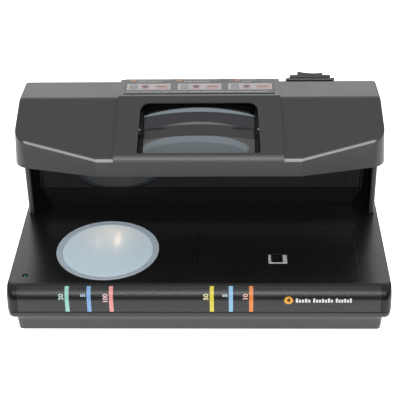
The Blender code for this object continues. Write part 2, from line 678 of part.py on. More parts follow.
def head_profile(inset):
    """The head's outline from the side, in (y, z), clockwise from its front foot."""
    run = math.tan(SLOPE_ANGLE)
    front_y, rear_y = FASCIA_Y - 20 * MM, BACK + 20 * MM
    rear_run = math.tan(REAR_ANGLE)
    path = [(front_y, FASCIA_TOP_Z - 20 * MM * run), (CREASE_Y, TOP_Z), (TOP_BACK_Y, TOP_Z),
            (rear_y, REAR_EDGE_Z + 20 * MM * rear_run)]
    roof = offset_path(path, -inset)
    floor = HEAD_Z - 30 * MM
    return [(front_y, floor)] + roof + [(rear_y, floor)]


def head_block(name, inset, cutter):
    """The head's whole outside, or its inside where inset is the wall."""
    below, above = 20 * MM, 50 * MM
    rings = [flat_ring(head_plan(inset - HEAD_DRAFT * below), HEAD_Z - below),
             flat_ring(head_plan(inset + HEAD_DRAFT * above), HEAD_Z + above)]
    body = loft(name, rings, CASE, cutter)
    side = outline_solid(name + "_side", head_profile(inset)[::-1], 300 * MM, SIDE_VIEW, cutter=True)
    combine(body, side, "INTERSECT")
    return body


def slope_matrix(along, depth=0.0, x=0.0):
    """A frame on the head's front slope: X across, Y up the slope, Z out of it."""
    turn = Matrix.Rotation(SLOPE_ANGLE, 4, "X")
    foot = Matrix.Translation((x, FASCIA_Y, FASCIA_TOP_Z))
    return foot @ turn @ Matrix.Translation((0, along, depth))


def rear_matrix(along, depth=0.0, x=0.0):
    """A frame on the head's rear slope: X across, Y down the slope to the rear, Z out of it."""
    turn = Matrix.Rotation(REAR_ANGLE, 4, "X")
    return Matrix.Translation((x, TOP_BACK_Y, TOP_Z)) @ turn @ Matrix.Translation((0, along, depth))


WINDOW_MIDDLE = 5.4 * MM + WINDOW_LENGTH / 2
SWITCH_ALONG = 11 * MM


def make_head_shell():
    """The head's cover, open below, with the holes for the magnifier and the switch."""
    shell = head_block("head_shell", 0, False)
    soften(shell, 1.2 * MM, 2, 17)
    below = block("head_foot_cut", (320 * MM, 220 * MM, 60 * MM), (0, 30 * MM, HEAD_Z - 30 * MM), cutter=True)
    combine(shell, below)
    combine(shell, head_block("head_inside_cut", WALL, True))
    window = block("lens_hole_cut", (96 * MM, 45 * MM, 20 * MM), slope_matrix(WINDOW_MIDDLE).translation,
                   turn=Matrix.Rotation(SLOPE_ANGLE, 4, "X"), cutter=True)
    combine(shell, window)
    switch = block("switch_hole_cut", (26.6 * MM, 12.6 * MM, 20 * MM),
                   rear_matrix(SWITCH_ALONG, 0, SWITCH_X).translation,
                   turn=Matrix.Rotation(REAR_ANGLE, 4, "X"), cutter=True)
    combine(shell, switch)
    return shell


def make_underside():
    """The plate that closes the head below, with its sight hole and the ducts up to it."""
    low = HEAD_Z + 0.5 * MM
    thick = 2 * MM
    plan = head_plan(WALL + GAP + 0.9 * MM)
    plate = outline_solid("head_underside", plan, thick, Matrix.Translation((0, 0, low + thick / 2)), BLACK)
    sight = block("sight_hole_cut", (93 * MM, 36.6 * MM, 12 * MM), (0, 9.6 * MM, low), cutter=True)
    duct = block("head_duct_cut", (60 * MM, 12 * MM, 12 * MM), (0, 64 * MM, low), cutter=True)
    combine(plate, sight)
    combine(plate, duct)


def panel_half(y):
    """Half the raised panel's width: it widens a little down the slope."""
    down = max(0.0, (CREASE_Y - y) / (CREASE_Y - FASCIA_Y))
    return 58.6 * MM + 2 * MM * down


def make_window_panel():
    """The raised panel that wraps the top and the slope, and rolls over the fascia's edge."""
    path = [(TOP_BACK_Y + 0.4 * MM, TOP_Z), (CREASE_Y, TOP_Z), (FASCIA_Y, FASCIA_TOP_Z),
            (FASCIA_Y, FASCIA_TOP_Z - 3.2 * MM)]
    outer = offset_path(path, -1.8 * MM)
    inner = offset_path(path, -GAP)
    outline = filleted(outer + inner[::-1], [0.8 * MM, 2 * MM, 6 * MM, 0, 0, 4.5 * MM, 0, 0], 5)
    panel = outline_solid("window_panel", outline, 2, SIDE_VIEW, CASE)
    for vertex in panel.data.vertices:
        vertex.co.z *= panel_half(vertex.co.x)
    half_low, half_high = WINDOW_WIDTH / 2 + 1 * MM, WINDOW_WIDTH / 2 - 1 * MM
    reach = WINDOW_LENGTH / 2
    opening = filleted([(-half_low, -reach), (half_low, -reach), (half_high, reach), (-half_high, reach)],
                       [1.5 * MM, 1.5 * MM, 7 * MM, 7 * MM], 5)
    cut = outline_solid("panel_window_cut", opening, 12 * MM, slope_matrix(WINDOW_MIDDLE), cutter=True)
    combine(panel, cut)


def make_magnifier():
    """The domed lens, the end brackets and clips that hold it, and the dark well below it."""
    length = 43 * MM
    edge_depth, rise = -5.6 * MM, 4.6 * MM
    half = LENS_WIDTH / 2
    shape = bmesh.new()
    across, up = 20, 10
    corner = math.hypot(half, length / 2)
    radius = (corner ** 2 + rise ** 2) / (2 * rise)

    def dome(x, y):
        """The convex face's height above the lens's rim plane."""
        return math.sqrt(radius ** 2 - x ** 2 - y ** 2) - (radius - rise)

    def at(i, j, top):
        """One grid point of the lens's top or flat bottom."""
        x, y = -half + 2 * half * i / across, -length / 2 + length * j / up
        z = edge_depth + dome(x, y) if top else edge_depth - 1.4 * MM
        return (x, y, z)

    tops = [[shape.verts.new(at(i, j, True)) for j in range(up + 1)] for i in range(across + 1)]
    border = ([(i, 0) for i in range(across)] + [(across, j) for j in range(up)]
              + [(i, up) for i in range(across, 0, -1)] + [(0, j) for j in range(up, 0, -1)])
    lows = {spot: shape.verts.new(at(*spot, False)) for spot in border}
    for i in range(across):
        for j in range(up):
            shape.faces.new((tops[i][j], tops[i + 1][j], tops[i + 1][j + 1], tops[i][j + 1]))
    for spot, after in zip(border, border[1:] + border[:1]):
        shape.faces.new((lows[spot], lows[after], tops[after[0]][after[1]], tops[spot[0]][spot[1]]))
    shape.faces.new([lows[spot] for spot in reversed(border)])
    place(finish_mesh(shape, "magnifier_lens", True), "magnifier_lens", LENS, slope_matrix(WINDOW_MIDDLE))

    for side, hand in ((-1, "left"), (1, "right")):
        x = side * (half + GAP + 3.4 * MM)
        turn = Matrix.Rotation(SLOPE_ANGLE, 4, "X")
        bracket = block(f"lens_bracket_{hand}", (6.4 * MM, 43 * MM, 3.4 * MM),
                        slope_matrix(WINDOW_MIDDLE, -5.2 * MM, x).translation, BLACK, turn)
        clip = block(f"lens_clip_{hand}", (4.6 * MM, 9 * MM, 3 * MM),
                     slope_matrix(WINDOW_MIDDLE, -2.6 * MM, side * (half + 2.8 * MM)).translation, turn=turn,
                     cutter=True)
        combine(bracket, clip, "UNION")

    front, back = -8.2 * MM, 28.6 * MM
    outer = [(-47.6 * MM, front), (47.6 * MM, front), (47.6 * MM, back), (-47.6 * MM, back)]
    low, high = HEAD_Z + 2.5 * MM + GAP, TOP_Z
    well = outline_solid("lens_well", outer, high - low, Matrix.Translation((0, 0, (low + high) / 2)), BLACK)
    hollow = block("well_hollow_cut", (2 * 46 * MM, back - front - 3.2 * MM, 100 * MM),
                   (0, (front + back) / 2, low), cutter=True)
    combine(well, hollow)
    over_well = slope_matrix(WINDOW_MIDDLE, 30 * MM - 7.4 * MM).translation
    above = block("well_slope_cut", (120 * MM, 120 * MM, 60 * MM), over_well,
                  turn=Matrix.Rotation(SLOPE_ANGLE, 4, "X"), cutter=True)
    combine(well, above)


def make_top_label():
    """The printed film on the flat top of the raised panel."""
    front, back = CREASE_Y + 2.6 * MM, TOP_BACK_Y - 0.6 * MM
    block("top_label", (2 * 55 * MM, back - front, 0.2 * MM), (0, (front + back) / 2, TOP_Z + 2.2 * MM), GLOSS)


# Switch

def make_switch():
    """The rocker switch on the rear slope: a moulded boss, the housing clipped in it and the rocker."""
    turn = Matrix.Rotation(REAR_ANGLE, 4, "X")

    def on_slope(depth):
        """The switch's middle at a height above the rear slope."""
        return rear_matrix(SWITCH_ALONG, depth, SWITCH_X).translation

    boss = block("switch_boss", (36 * MM, 19 * MM, 2.1 * MM), on_slope(1.35 * MM), CASE, turn)
    soften(boss, 0.7 * MM, 2)
    combine(boss, block("boss_hole_cut", (26.6 * MM, 12.6 * MM, 12 * MM), on_slope(0), turn=turn, cutter=True))
    housing = block("switch_housing", (30 * MM, 15.4 * MM, 2.2 * MM), on_slope(3.8 * MM), BLACK, turn)
    soften(housing, 0.5 * MM, 2)
    body = block("switch_body_join", (26 * MM, 12 * MM, 18 * MM), on_slope(-5.6 * MM), turn=turn, cutter=True)
    combine(housing, body, "UNION")
    combine(housing, block("rocker_hole_cut", (20.8 * MM, 10.6 * MM, 14 * MM), on_slope(-0.6 * MM), turn=turn,
                           cutter=True))

    pivot_depth = 2.6 * MM
    top_end, top_middle, low = 4.75 * MM, 3.9 * MM, -2.8 * MM
    dip = [(9.5 * MM * t, top_middle + (top_end - top_middle) * t * t) for t in [1 - i / 6 for i in range(13)]]
    outline = dip + [(-8.6 * MM, low), (8.6 * MM, low)]
    upright = Matrix(((1, 0, 0, 0), (0, 0, -1, 0), (0, 1, 0, 0), (0, 0, 0, 1)))
    tilt = Matrix.Rotation(ROCKER_TILT, 4, "Y")
    outline_solid("power_rocker", outline, 10 * MM,
                  rear_matrix(SWITCH_ALONG, pivot_depth, SWITCH_X) @ tilt @ upright, BLACK)


def make_leads():
    """The leads inside: mains to the board, board to switch, board to lamps, head to board."""
    wire("mains_lead", [(92 * MM, 60.2 * MM, 52 * MM), (91 * MM, 55 * MM, 51 * MM), (80 * MM, 54 * MM, 47 * MM),
                        (66 * MM, 56 * MM, 42 * MM), (54 * MM, 56 * MM, 32 * MM), (46 * MM, 46 * MM, 24 * MM),
                        (44 * MM, 40 * MM, 14.5 * MM)], 1.5 * MM, WIRE)
    wire("switch_lead", [(76 * MM, 59 * MM, 112 * MM), (50 * MM, 62 * MM, 108 * MM), (24 * MM, 64 * MM, 100 * MM),
                         (16 * MM, 66 * MM, 80 * MM), (16 * MM, 62 * MM, 50 * MM), (20 * MM, 54 * MM, 34 * MM),
                         (26 * MM, 44 * MM, 14.5 * MM)], 1.5 * MM, WIRE)


make_tray()
make_deck()
make_front_label()
make_feet_and_screws()
make_disc()
make_sensor()
make_indicator()
make_electronics()
make_side_walls()
make_bay()
make_lamps()
make_rear_cover()
make_head_shell()
make_underside()
make_window_panel()
make_magnifier()
make_top_label()
make_switch()
make_leads()
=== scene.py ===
import math

import bmesh
import bpy
from mathutils import Matrix, Vector


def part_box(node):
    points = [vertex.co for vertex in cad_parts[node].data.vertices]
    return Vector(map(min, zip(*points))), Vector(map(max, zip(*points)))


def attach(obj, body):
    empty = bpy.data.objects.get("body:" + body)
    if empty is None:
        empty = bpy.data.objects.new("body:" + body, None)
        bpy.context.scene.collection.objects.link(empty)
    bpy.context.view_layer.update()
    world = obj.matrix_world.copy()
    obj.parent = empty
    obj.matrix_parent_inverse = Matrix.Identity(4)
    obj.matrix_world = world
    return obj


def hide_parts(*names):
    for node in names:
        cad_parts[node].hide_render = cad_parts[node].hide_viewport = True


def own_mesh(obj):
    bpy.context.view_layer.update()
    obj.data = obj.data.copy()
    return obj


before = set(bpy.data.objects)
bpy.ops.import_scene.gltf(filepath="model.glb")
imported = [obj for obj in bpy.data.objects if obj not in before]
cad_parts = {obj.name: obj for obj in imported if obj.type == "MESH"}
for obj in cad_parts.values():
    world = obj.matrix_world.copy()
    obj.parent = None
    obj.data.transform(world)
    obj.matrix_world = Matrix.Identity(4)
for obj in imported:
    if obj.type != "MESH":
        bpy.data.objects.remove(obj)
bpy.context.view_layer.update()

MM = 0.001


# Rubber feet: four die-cut discs of black rubber, stuck under the tray.
# Rubber is nearly matt, greyed by dust and scuffed where it slides on the counter.

def new_finish(name, roughness=0.5, metallic=0.0):
    """An empty Principled material, with its node tree, shader and object coordinates."""
    material = bpy.data.materials.new(name)
    material.use_nodes = True
    tree = material.node_tree
    shader = tree.nodes["Principled BSDF"]
    shader.inputs["Roughness"].default_value = roughness
    shader.inputs["Metallic"].default_value = metallic
    coords = tree.nodes.new("ShaderNodeTexCoord").outputs["Object"]
    return material, tree, shader, coords


def grain(tree, coords, size, detail=2.0, stretch=None):
    """Noise whose spots are about the given size."""
    if stretch:
        mapping = tree.nodes.new("ShaderNodeMapping")
        mapping.inputs["Scale"].default_value = stretch
        tree.links.new(coords, mapping.inputs["Vector"])
        coords = mapping.outputs["Vector"]
    noise = tree.nodes.new("ShaderNodeTexNoise")
    noise.inputs["Scale"].default_value = 1 / size
    noise.inputs["Detail"].default_value = detail
    tree.links.new(coords, noise.inputs["Vector"])
    return noise.outputs["Fac"]


def spread(tree, value, low, high, start=0.3, stop=0.7):
    """Maps a noise value to a range."""
    ranged = tree.nodes.new("ShaderNodeMapRange")
    ranged.inputs["From Min"].default_value = start
    ranged.inputs["From Max"].default_value = stop
    ranged.inputs["To Min"].default_value = low
    ranged.inputs["To Max"].default_value = high
    tree.links.new(value, ranged.inputs["Value"])
    return ranged.outputs["Result"]


def tint(tree, factor, dark, light, start=0.3, stop=0.7):
    """A colour between two, by a noise value."""
    ramp = tree.nodes.new("ShaderNodeValToRGB")
    ramp.color_ramp.elements[0].position = start
    ramp.color_ramp.elements[1].position = stop
    ramp.color_ramp.elements[0].color = (*dark, 1)
    ramp.color_ramp.elements[1].color = (*light, 1)
    tree.links.new(factor, ramp.inputs["Fac"])
    return ramp.outputs["Color"]


def raise_surface(tree, shader, heights, strength=0.4):
    """Bumps, each a height value and its depth, one on top of the other."""
    normal = None
    for height, depth in heights:
        bump = tree.nodes.new("ShaderNodeBump")
        bump.inputs["Strength"].default_value = strength
        bump.inputs["Distance"].default_value = depth
        tree.links.new(height, bump.inputs["Height"])
        if normal is not None:
            tree.links.new(normal, bump.inputs["Normal"])
        normal = bump.outputs["Normal"]
    tree.links.new(normal, shader.inputs["Normal"])


def mm(*values):
    """Sizes given in millimetres, as a tuple in metres."""
    return tuple(value * MM for value in values)


def worn_surface(name, dark, light, gloss, pits, mottle=9.0, metallic=0.0):
    """A moulded or painted surface: fine grain, soft cloudy gloss and a slight change of colour.

    The gloss is the lowest and highest roughness, and the pits are the grain's size and depth in millimetres.
    """
    material, tree, shader, coords = new_finish(name, gloss[1], metallic)
    grain_size, grain_depth = mm(*pits)
    fine = grain(tree, coords, grain_size, 2)
    cloud = grain(tree, coords, mottle * MM, 4)
    tree.links.new(tint(tree, cloud, dark, light), shader.inputs["Base Color"])
    tree.links.new(spread(tree, cloud, *gloss), shader.inputs["Roughness"])
    raise_surface(tree, shader, [(fine, grain_depth)])
    return material


def refinish(material, *nodes):
    """Give CAD pieces a better material."""
    for name in nodes:
        for part_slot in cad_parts[name].material_slots:
            part_slot.material = material


foot_rubber = worn_surface("foot_rubber", (0.012, 0.012, 0.012), (0.028, 0.027, 0.026), (0.7, 0.92),
                           (0.5, 0.06))
refinish(foot_rubber, *[f"rubber_foot_{number}" for number in range(1, 5)])


# Bottom tray: injection moulded in charcoal ABS, with a cove all round so that the base seems to float.
# Its raised rim meets the deck shell in a fine shadow gap, and screw recesses open in its floor.

tray_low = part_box("bottom_tray")[0]
deck_low, deck_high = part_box("deck_shell")
GAP = 0.3 * MM
WALL = 2.4 * MM
HALF = deck_high.x
FRONT = deck_low.y
BACK = deck_high.y
BASE_CORNER = 5 * MM


def arc(centre_x, centre_y, radius, start, end, steps):
    """Points along an arc, angles in degrees."""
    angles = [math.radians(start + (end - start) * i / steps) for i in range(steps + 1)]
    return [(centre_x + radius * math.cos(a), centre_y + radius * math.sin(a)) for a in angles]


def rounded_plan(half_width, front, back, radius):
    """A rectangle with rounded corners, anticlockwise from above."""
    right, left = half_width - radius, radius - half_width
    rear, fore = back - radius, front + radius
    points = []
    for number, (x, y) in enumerate([(right, rear), (left, rear), (left, fore), (right, fore)]):
        points += arc(x, y, radius, 90 * number, 90 * number + 90, 10)
    return points


def base_ring(inset, z, front_inset=None):
    """The base's plan at one height, pulled in all round, and by its own amount at the front."""
    front = FRONT + (inset if front_inset is None else front_inset)
    plan = rounded_plan(HALF - inset, front, BACK - inset, BASE_CORNER - 0.35 * inset)
    return [(x, y, z) for x, y in plan]


def mesh_from(shape, name, sharp=35):
    """A bmesh turned into a mesh, faces out, shaded smooth up to an angle."""
    bmesh.ops.recalc_face_normals(shape, faces=shape.faces)
    mesh = bpy.data.meshes.new(name)
    shape.to_mesh(mesh)
    shape.free()
    mesh.shade_smooth()
    mesh.set_sharp_from_angle(angle=math.radians(sharp))
    return mesh


def show(name, mesh, matrix=None):
    """Put a mesh in the scene as an object, with its place made part of the mesh."""
    if matrix is not None:
        mesh.transform(matrix)
    obj = bpy.data.objects.new(name, mesh)
    bpy.context.scene.collection.objects.link(obj)
    return obj


def skin(name, rings):
    """Skin a list of rings, each with the same number of points, and cap both ends."""
    shape = bmesh.new()
    rows = [[shape.verts.new(point) for point in ring] for ring in rings]
    count = len(rows[0])
    for lower, upper in zip(rows, rows[1:]):
        for i in range(count):
            j = (i + 1) % count
            shape.faces.new((lower[i], lower[j], upper[j], upper[i]))
    shape.faces.new(reversed(rows[0]))
    shape.faces.new(rows[-1])
    return show(name, mesh_from(shape, name))


def drum(name, radius, length, centre, sides=48, matrix=None):
    """A round tool or blank, standing along Z."""
    shape = bmesh.new()
    bmesh.ops.create_cone(shape, cap_ends=True, segments=sides, radius1=radius, radius2=radius, depth=length)
    return show(name, mesh_from(shape, name), (matrix or Matrix.Identity(4)) @ Matrix.Translation(centre))


def brick(name, size, centre, matrix=None):
    """A square tool or blank."""
    shape = bmesh.new()
    bmesh.ops.create_cube(shape, size=1)
    bmesh.ops.scale(shape, vec=size, verts=shape.verts)
    return show(name, mesh_from(shape, name), (matrix or Matrix.Identity(4)) @ Matrix.Translation(centre))


def machined(obj, steps=(), edge=0.0, segments=2, degrees=40, sharp=35):
    """Cut or join with tools, round what is left sharp, and keep the result as the piece's own mesh."""
    for operation, tool in steps:
        modifier = obj.modifiers.new("step", "BOOLEAN")
        modifier.operation = operation
        modifier.solver = "EXACT"
        modifier.object = tool
    if edge:
        modifier = obj.modifiers.new("edge", "BEVEL")
        modifier.width = edge
        modifier.segments = segments
        modifier.limit_method = "ANGLE"
        modifier.angle_limit = math.radians(degrees)
        modifier.use_clamp_overlap = True
        modifier.harden_normals = False
    bpy.context.view_layer.update()
    seen = obj.evaluated_get(bpy.context.evaluated_depsgraph_get())
    mesh = bpy.data.meshes.new_from_object(seen)
    obj.modifiers.clear()
    obj.data = mesh
    mesh.shade_smooth()
    mesh.set_sharp_from_angle(angle=math.radians(sharp))
    for tool in {tool for _, tool in steps}:
        bpy.data.objects.remove(tool, do_unlink=True)
    flatten = obj.modifiers.new("even_shading", "WEIGHTED_NORMAL")
    flatten.keep_sharp = True
    flatten.weight = 100
    return obj


def fit(obj, material, part_slot, *nodes, body="housing"):
    """Give a piece its finish, hide the CAD pieces it stands for, and hang it on the body it rides on."""
    obj.data.materials.clear()
    obj.data.materials.append(material)
    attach(obj, body)
    if nodes:
        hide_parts(*nodes)
    return obj


def middle(node):
    """The middle of a CAD node's box."""
    low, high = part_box(node)
    return (Vector(low) + Vector(high)) / 2


def size_of(node):
    """The size of a CAD node's box."""
    low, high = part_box(node)
    return Vector(high) - Vector(low)



def lightened(material, tilt, start, stop, colour, speckle=0.0):
    """Paints a highlight into a moulding's colour where it faces forwards and up at an angle, as along a
    rounded front edge.
    """
    tree = material.node_tree
    shader = tree.nodes["Principled BSDF"]
    facing = tree.nodes.new("ShaderNodeVectorMath")
    facing.operation = "DOT_PRODUCT"
    facing.inputs[1].default_value = (0, -math.cos(math.radians(tilt)), math.sin(math.radians(tilt)))
    coords = tree.nodes.new("ShaderNodeTexCoord")
    tree.links.new(coords.outputs["Normal"], facing.inputs[0])
    highlight_mask = spread(tree, facing.outputs["Value"], 0, 1, start, stop)
    if speckle:
        spots = spread(tree, grain(tree, coords.outputs["Object"], 0.6 * MM, 2), 1 - speckle, 1)
        both = tree.nodes.new("ShaderNodeMath")
        both.operation = "MULTIPLY"
        tree.links.new(highlight_mask, both.inputs[0])
        tree.links.new(spots, both.inputs[1])
        highlight_mask = both.outputs["Value"]
    mix = tree.nodes.new("ShaderNodeMix")
    mix.data_type = "RGBA"
    tree.links.new(highlight_mask, mix.inputs["Factor"])
    tree.links.new(shader.inputs["Base Color"].links[0].from_socket, mix.inputs[6])
    mix.inputs[7].default_value = (*colour, 1)
    tree.links.new(mix.outputs[2], shader.inputs["Base Color"])
    return material


def charcoal_moulding(name):
    """The case's charcoal ABS."""
    return worn_surface(name, (0.038, 0.038, 0.039), (0.041, 0.041, 0.042), (0.29, 0.35), (0.4, 0.03), 16)


charcoal = charcoal_moulding("charcoal_moulding")

# Each row is the inset all round and the height above the floor, in millimetres.
cove = [(6.7, 2), (6.4, 2.1), (5.9, 2.6), (5.7, 5), (5.5, 8), (5.2, 11), (4.7, 13), (3.8, 14.6), (2.4, 15.9),
        (1.2, 16.7), (0.6, 17.3), (0.4, 18), (0.35, 20.4), (0.6, 20.9), (1.1, 21.2)]
inside = [(2.7, 21.2), (2.9, 18.6), (4.6, 16.6), (6.6, 14.2), (7.8, 11), (8.6, 4.4)]
rings = [base_ring(inset * MM, z * MM) for inset, z in cove + inside]
tray = skin("bottom_tray_moulding", rings)
screw_spots = [middle(f"base_screw_{number}") for number in range(1, 5)]
recesses = [("DIFFERENCE", drum(f"recess_{i}", 3.6 * MM, 5 * MM, (spot.x, spot.y, tray_low.z)))
            for i, spot in enumerate(screw_spots)]
machined(tray, recesses, edge=0.2 * MM, degrees=50)
fit(tray, charcoal, "charcoal_case", "bottom_tray")


# Screws: zinc-plated pan heads with a cross recess.  Four hold the tray from below, and four the rear cover.
# Each is a turned blank with its cross struck in the head.

def turned(name, profile, sides=48, closed=False):
    """A turned piece about Z from its (radius, height) profile in millimetres."""
    shape = bmesh.new()
    rows = []
    for radius, height in profile:
        if radius == 0:
            rows.append([shape.verts.new((0, 0, height * MM))])
            continue
        rows.append([shape.verts.new((radius * MM * math.cos(2 * math.pi * i / sides),
                                      radius * MM * math.sin(2 * math.pi * i / sides), height * MM))
                     for i in range(sides)])
    if closed:
        rows.append(rows[0])
    for lower, upper in zip(rows, rows[1:]):
        for i in range(sides):
            j = (i + 1) % sides
            below = [lower[i % len(lower)], lower[j % len(lower)]]
            above = [upper[j % len(upper)], upper[i % len(upper)]]
            shape.faces.new(list(dict.fromkeys(below + above)))
    return show(name, mesh_from(shape, name, 30))


def cross_screw(name, node, profile, matrix, material):
    """A pan-head screw with its cross recess, placed head outwards."""
    blank = turned(name, profile)
    bars = [("DIFFERENCE", brick(f"{name}_bar_{i}", mm(*size, 1.6), (0, 0, 0)))
            for i, size in enumerate([(3.2, 0.8), (0.8, 3.2)])]
    machined(blank, bars, sharp=30)
    blank.data.transform(matrix)
    fit(blank, material, "bright_metal", node)


zinc = worn_surface("zinc_plate", (0.42, 0.43, 0.44), (0.56, 0.56, 0.55), (0.22, 0.4), (0.25, 0.01), 3, 1.0)
base_profile = [(0, 0.1), (1.6, 0), (2.6, 0.25), (3.1, 0.8), (3.1, 1.8), (1.5, 1.9), (1.5, 12), (0.9, 13),
                (0, 13)]
for number in range(1, 5):
    low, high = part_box(f"base_screw_{number}")
    spot = Matrix.Translation(((low.x + high.x) / 2, (low.y + high.y) / 2, low.z))
    cross_screw(f"base_screw_{number}_turned", f"base_screw_{number}", base_profile, spot, zinc)


# Deck shell: the black ABS top of the base, its nose rolled over to the front and its deck flat.
# A stepped seat takes the disc, a shallow pocket the sensor plate, and a shallow strip the front film.

DECK_Z = deck_high.z
NOSE_RADIUS = 9.5 * MM
EDGE_RADIUS = 1.6 * MM
PARTING_GROOVE = 0.55 * MM
DECK_DRAFT = 0.6 * MM
SEAT_DEPTH = 0.5 * MM
disc_low, disc_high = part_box("disc_rim")
DISC = Vector(((disc_low.x + disc_high.x) / 2, (disc_low.y + disc_high.y) / 2, 0))
DISC_RADIUS = (disc_high.x - disc_low.x) / 2
plate_low, plate_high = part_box("sensor_plate")
label_low, label_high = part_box("front_label")


def filleted(points, radii, steps=8):
    """Round each corner of a closed outline by its own radius."""
    rounded = []
    for i, radius in enumerate(radii):
        corner = Vector(points[i])
        if radius == 0:
            rounded.append(tuple(corner))
            continue
        towards_last = (Vector(points[i - 1]) - corner).normalized()
        towards_next = (Vector(points[(i + 1) % len(points)]) - corner).normalized()
        half_angle = towards_last.angle(towards_next) / 2
        centre = corner + (towards_last + towards_next).normalized() * radius / math.sin(half_angle)
        reach = radius / math.tan(half_angle)
        first = corner + towards_last * reach - centre
        turn = first.angle_signed(corner + towards_next * reach - centre)
        for step in range(steps + 1):
            rounded.append(tuple(centre + Matrix.Rotation(-turn * step / steps, 2) @ first))
    return rounded


def flat_solid(name, outline, thickness, matrix):
    """A flat outline, cut from sheet of the given thickness and centred on its plane."""
    shape = bmesh.new()
    half = thickness / 2
    rows = [[shape.verts.new((x, y, z)) for x, y in outline] for z in (-half, half)]
    for i in range(len(outline)):
        j = (i + 1) % len(outline)
        shape.faces.new((rows[0][i], rows[0][j], rows[1][j], rows[1][i]))
    shape.faces.new(reversed(rows[0]))
    shape.faces.new(rows[1])
    return show(name, mesh_from(shape, name), matrix)


def nose_path(offset):
    """The front of the base from above the parting line, up and over to the film's upper edge, in (y, z)."""
    foot = (FRONT - offset, label_low.z)
    return [foot] + arc(FRONT + NOSE_RADIUS, DECK_Z - NOSE_RADIUS, NOSE_RADIUS + offset, 180, 110, 24)


# Maps an outline drawn as (y, z) to its place in space, with its thickness across the width.
SIDE_VIEW = Matrix(((0, 0, 1, 0), (1, 0, 0, 0), (0, 1, 0, 0), (0, 0, 0, 1)))

deck_foot = tray_low.z + 19.5 * MM
shells = []
for inset in (WALL, 0):
    rings = [base_ring(inset + PARTING_GROOVE, deck_foot), base_ring(inset, deck_foot + PARTING_GROOVE)]
    for step in range(15):
        turn = math.radians(90 * step / 14)
        nose = NOSE_RADIUS - inset
        z = DECK_Z - NOSE_RADIUS + nose * math.sin(turn)
        below_edge = DECK_Z - inset - z
        side = DECK_DRAFT * (z - deck_foot) / (DECK_Z - deck_foot)
        if below_edge < EDGE_RADIUS:
            side += EDGE_RADIUS - math.sqrt(EDGE_RADIUS ** 2 - (EDGE_RADIUS - below_edge) ** 2)
        rings.append(base_ring(inset + side, z, inset + nose * (1 - math.cos(turn))))
    shells.append(rings)
deck = skin("deck_moulding", shells[0][::-1] + shells[1])


def oblong(x0, x1, y0, y1):
    """A rectangle's corners."""
    return [(x0, y0), (x1, y0), (x1, y1), (x0, y1)]


pocket = filleted(oblong(plate_low.x - GAP, plate_high.x + GAP, plate_low.y - GAP, plate_high.y + GAP),
                  [3 * MM] * 4)
plate_size = size_of("sensor_plate")
plate_middle = middle("sensor_plate")
led = middle("indicator_led")
seat_outline = nose_path(2 * MM) + nose_path(-SEAT_DEPTH)[::-1]
label_half = label_high.x + GAP
machined(deck, [
    ("DIFFERENCE", drum("disc_seat", DISC_RADIUS + GAP, 4 * MM, DISC + Vector((0, 0, DECK_Z + 1 * MM)), 96)),
    ("DIFFERENCE", drum("disc_hole", 35.6 * MM, 20 * MM, DISC + Vector((0, 0, DECK_Z)), 96)),
    ("DIFFERENCE", flat_solid("plate_pocket", pocket, 2.4 * MM, Matrix.Translation((0, 0, DECK_Z)))),
    ("DIFFERENCE", brick("plate_hole", (plate_size.x - 12 * MM, plate_size.y - 12 * MM, 12 * MM),
                         (plate_middle.x, plate_middle.y, DECK_Z))),
    ("DIFFERENCE", drum("led_hole", 2.1 * MM, 12 * MM, (led.x, led.y, DECK_Z), 32)),
    ("DIFFERENCE", flat_solid("film_seat", seat_outline, 2 * label_half, SIDE_VIEW)),
], edge=0.3 * MM, segments=3, degrees=50)

satin_black = worn_surface("satin_black_deck", (0.0075, 0.0075, 0.008), (0.009, 0.009, 0.0095), (0.25, 0.3),
                           (0.3, 0.012), 30)
satin_black.node_tree.nodes["Principled BSDF"].inputs["Specular IOR Level"].default_value = 0.36
fit(deck, satin_black, "black_deck", "deck_shell")


# Front film: a printed polyester strip with a gloss face, stuck in the seat round the nose.
# Six bars mark where each note's thread should lie, each with its value, and a numbered spot is at the right.

FILM_DEPTH, FILM_THICK = 0.06 * MM, 0.15 * MM
film_section = nose_path(-FILM_DEPTH) + nose_path(-FILM_DEPTH - FILM_THICK)[::-1]
film = flat_solid("front_film", film_section, 2 * label_high.x, SIDE_VIEW)
machined(film, edge=0.05 * MM, segments=1, degrees=50)

gloss, tree, shader, coords = new_finish("gloss_film", 0.3)
orange_peel = grain(tree, coords, 1.1 * MM, 3)
speckle = grain(tree, coords, 0.7 * MM, 2)
tree.links.new(tint(tree, grain(tree, coords, 12 * MM, 3), (0.007, 0.0075, 0.01), (0.01, 0.0105, 0.013)),
               shader.inputs["Base Color"])
tree.links.new(spread(tree, speckle, 0.26, 0.4), shader.inputs["Roughness"])
shader.inputs["IOR"].default_value = 1.6
raise_surface(tree, shader, [(orange_peel, 0.12 * MM), (speckle, 0.12 * MM)], 0.7)
fit(film, gloss, "gloss_label", "front_label")

INK_THICK = 0.03 * MM
arc_start = DECK_Z - NOSE_RADIUS - label_low.z


def on_nose(along, lift):
    """The (y, z) point at a distance up the film's face from its lower edge, lifted off it."""
    lift -= FILM_DEPTH
    if along <= arc_start:
        return FRONT - lift, label_low.z + along
    turn = math.pi - (along - arc_start) / NOSE_RADIUS
    centre_y, centre_z = FRONT + NOSE_RADIUS, DECK_Z - NOSE_RADIUS
    radius = NOSE_RADIUS + lift
    return centre_y + radius * math.cos(turn), centre_z + radius * math.sin(turn)


def ink(name, colour, roughness=0.35):
    """Screen ink: an opaque colour with a slightly uneven body."""
    return worn_surface(name, tuple(0.9 * c for c in colour), colour, (roughness - 0.06, roughness + 0.06),
                        (0.3, 0.008), 4)


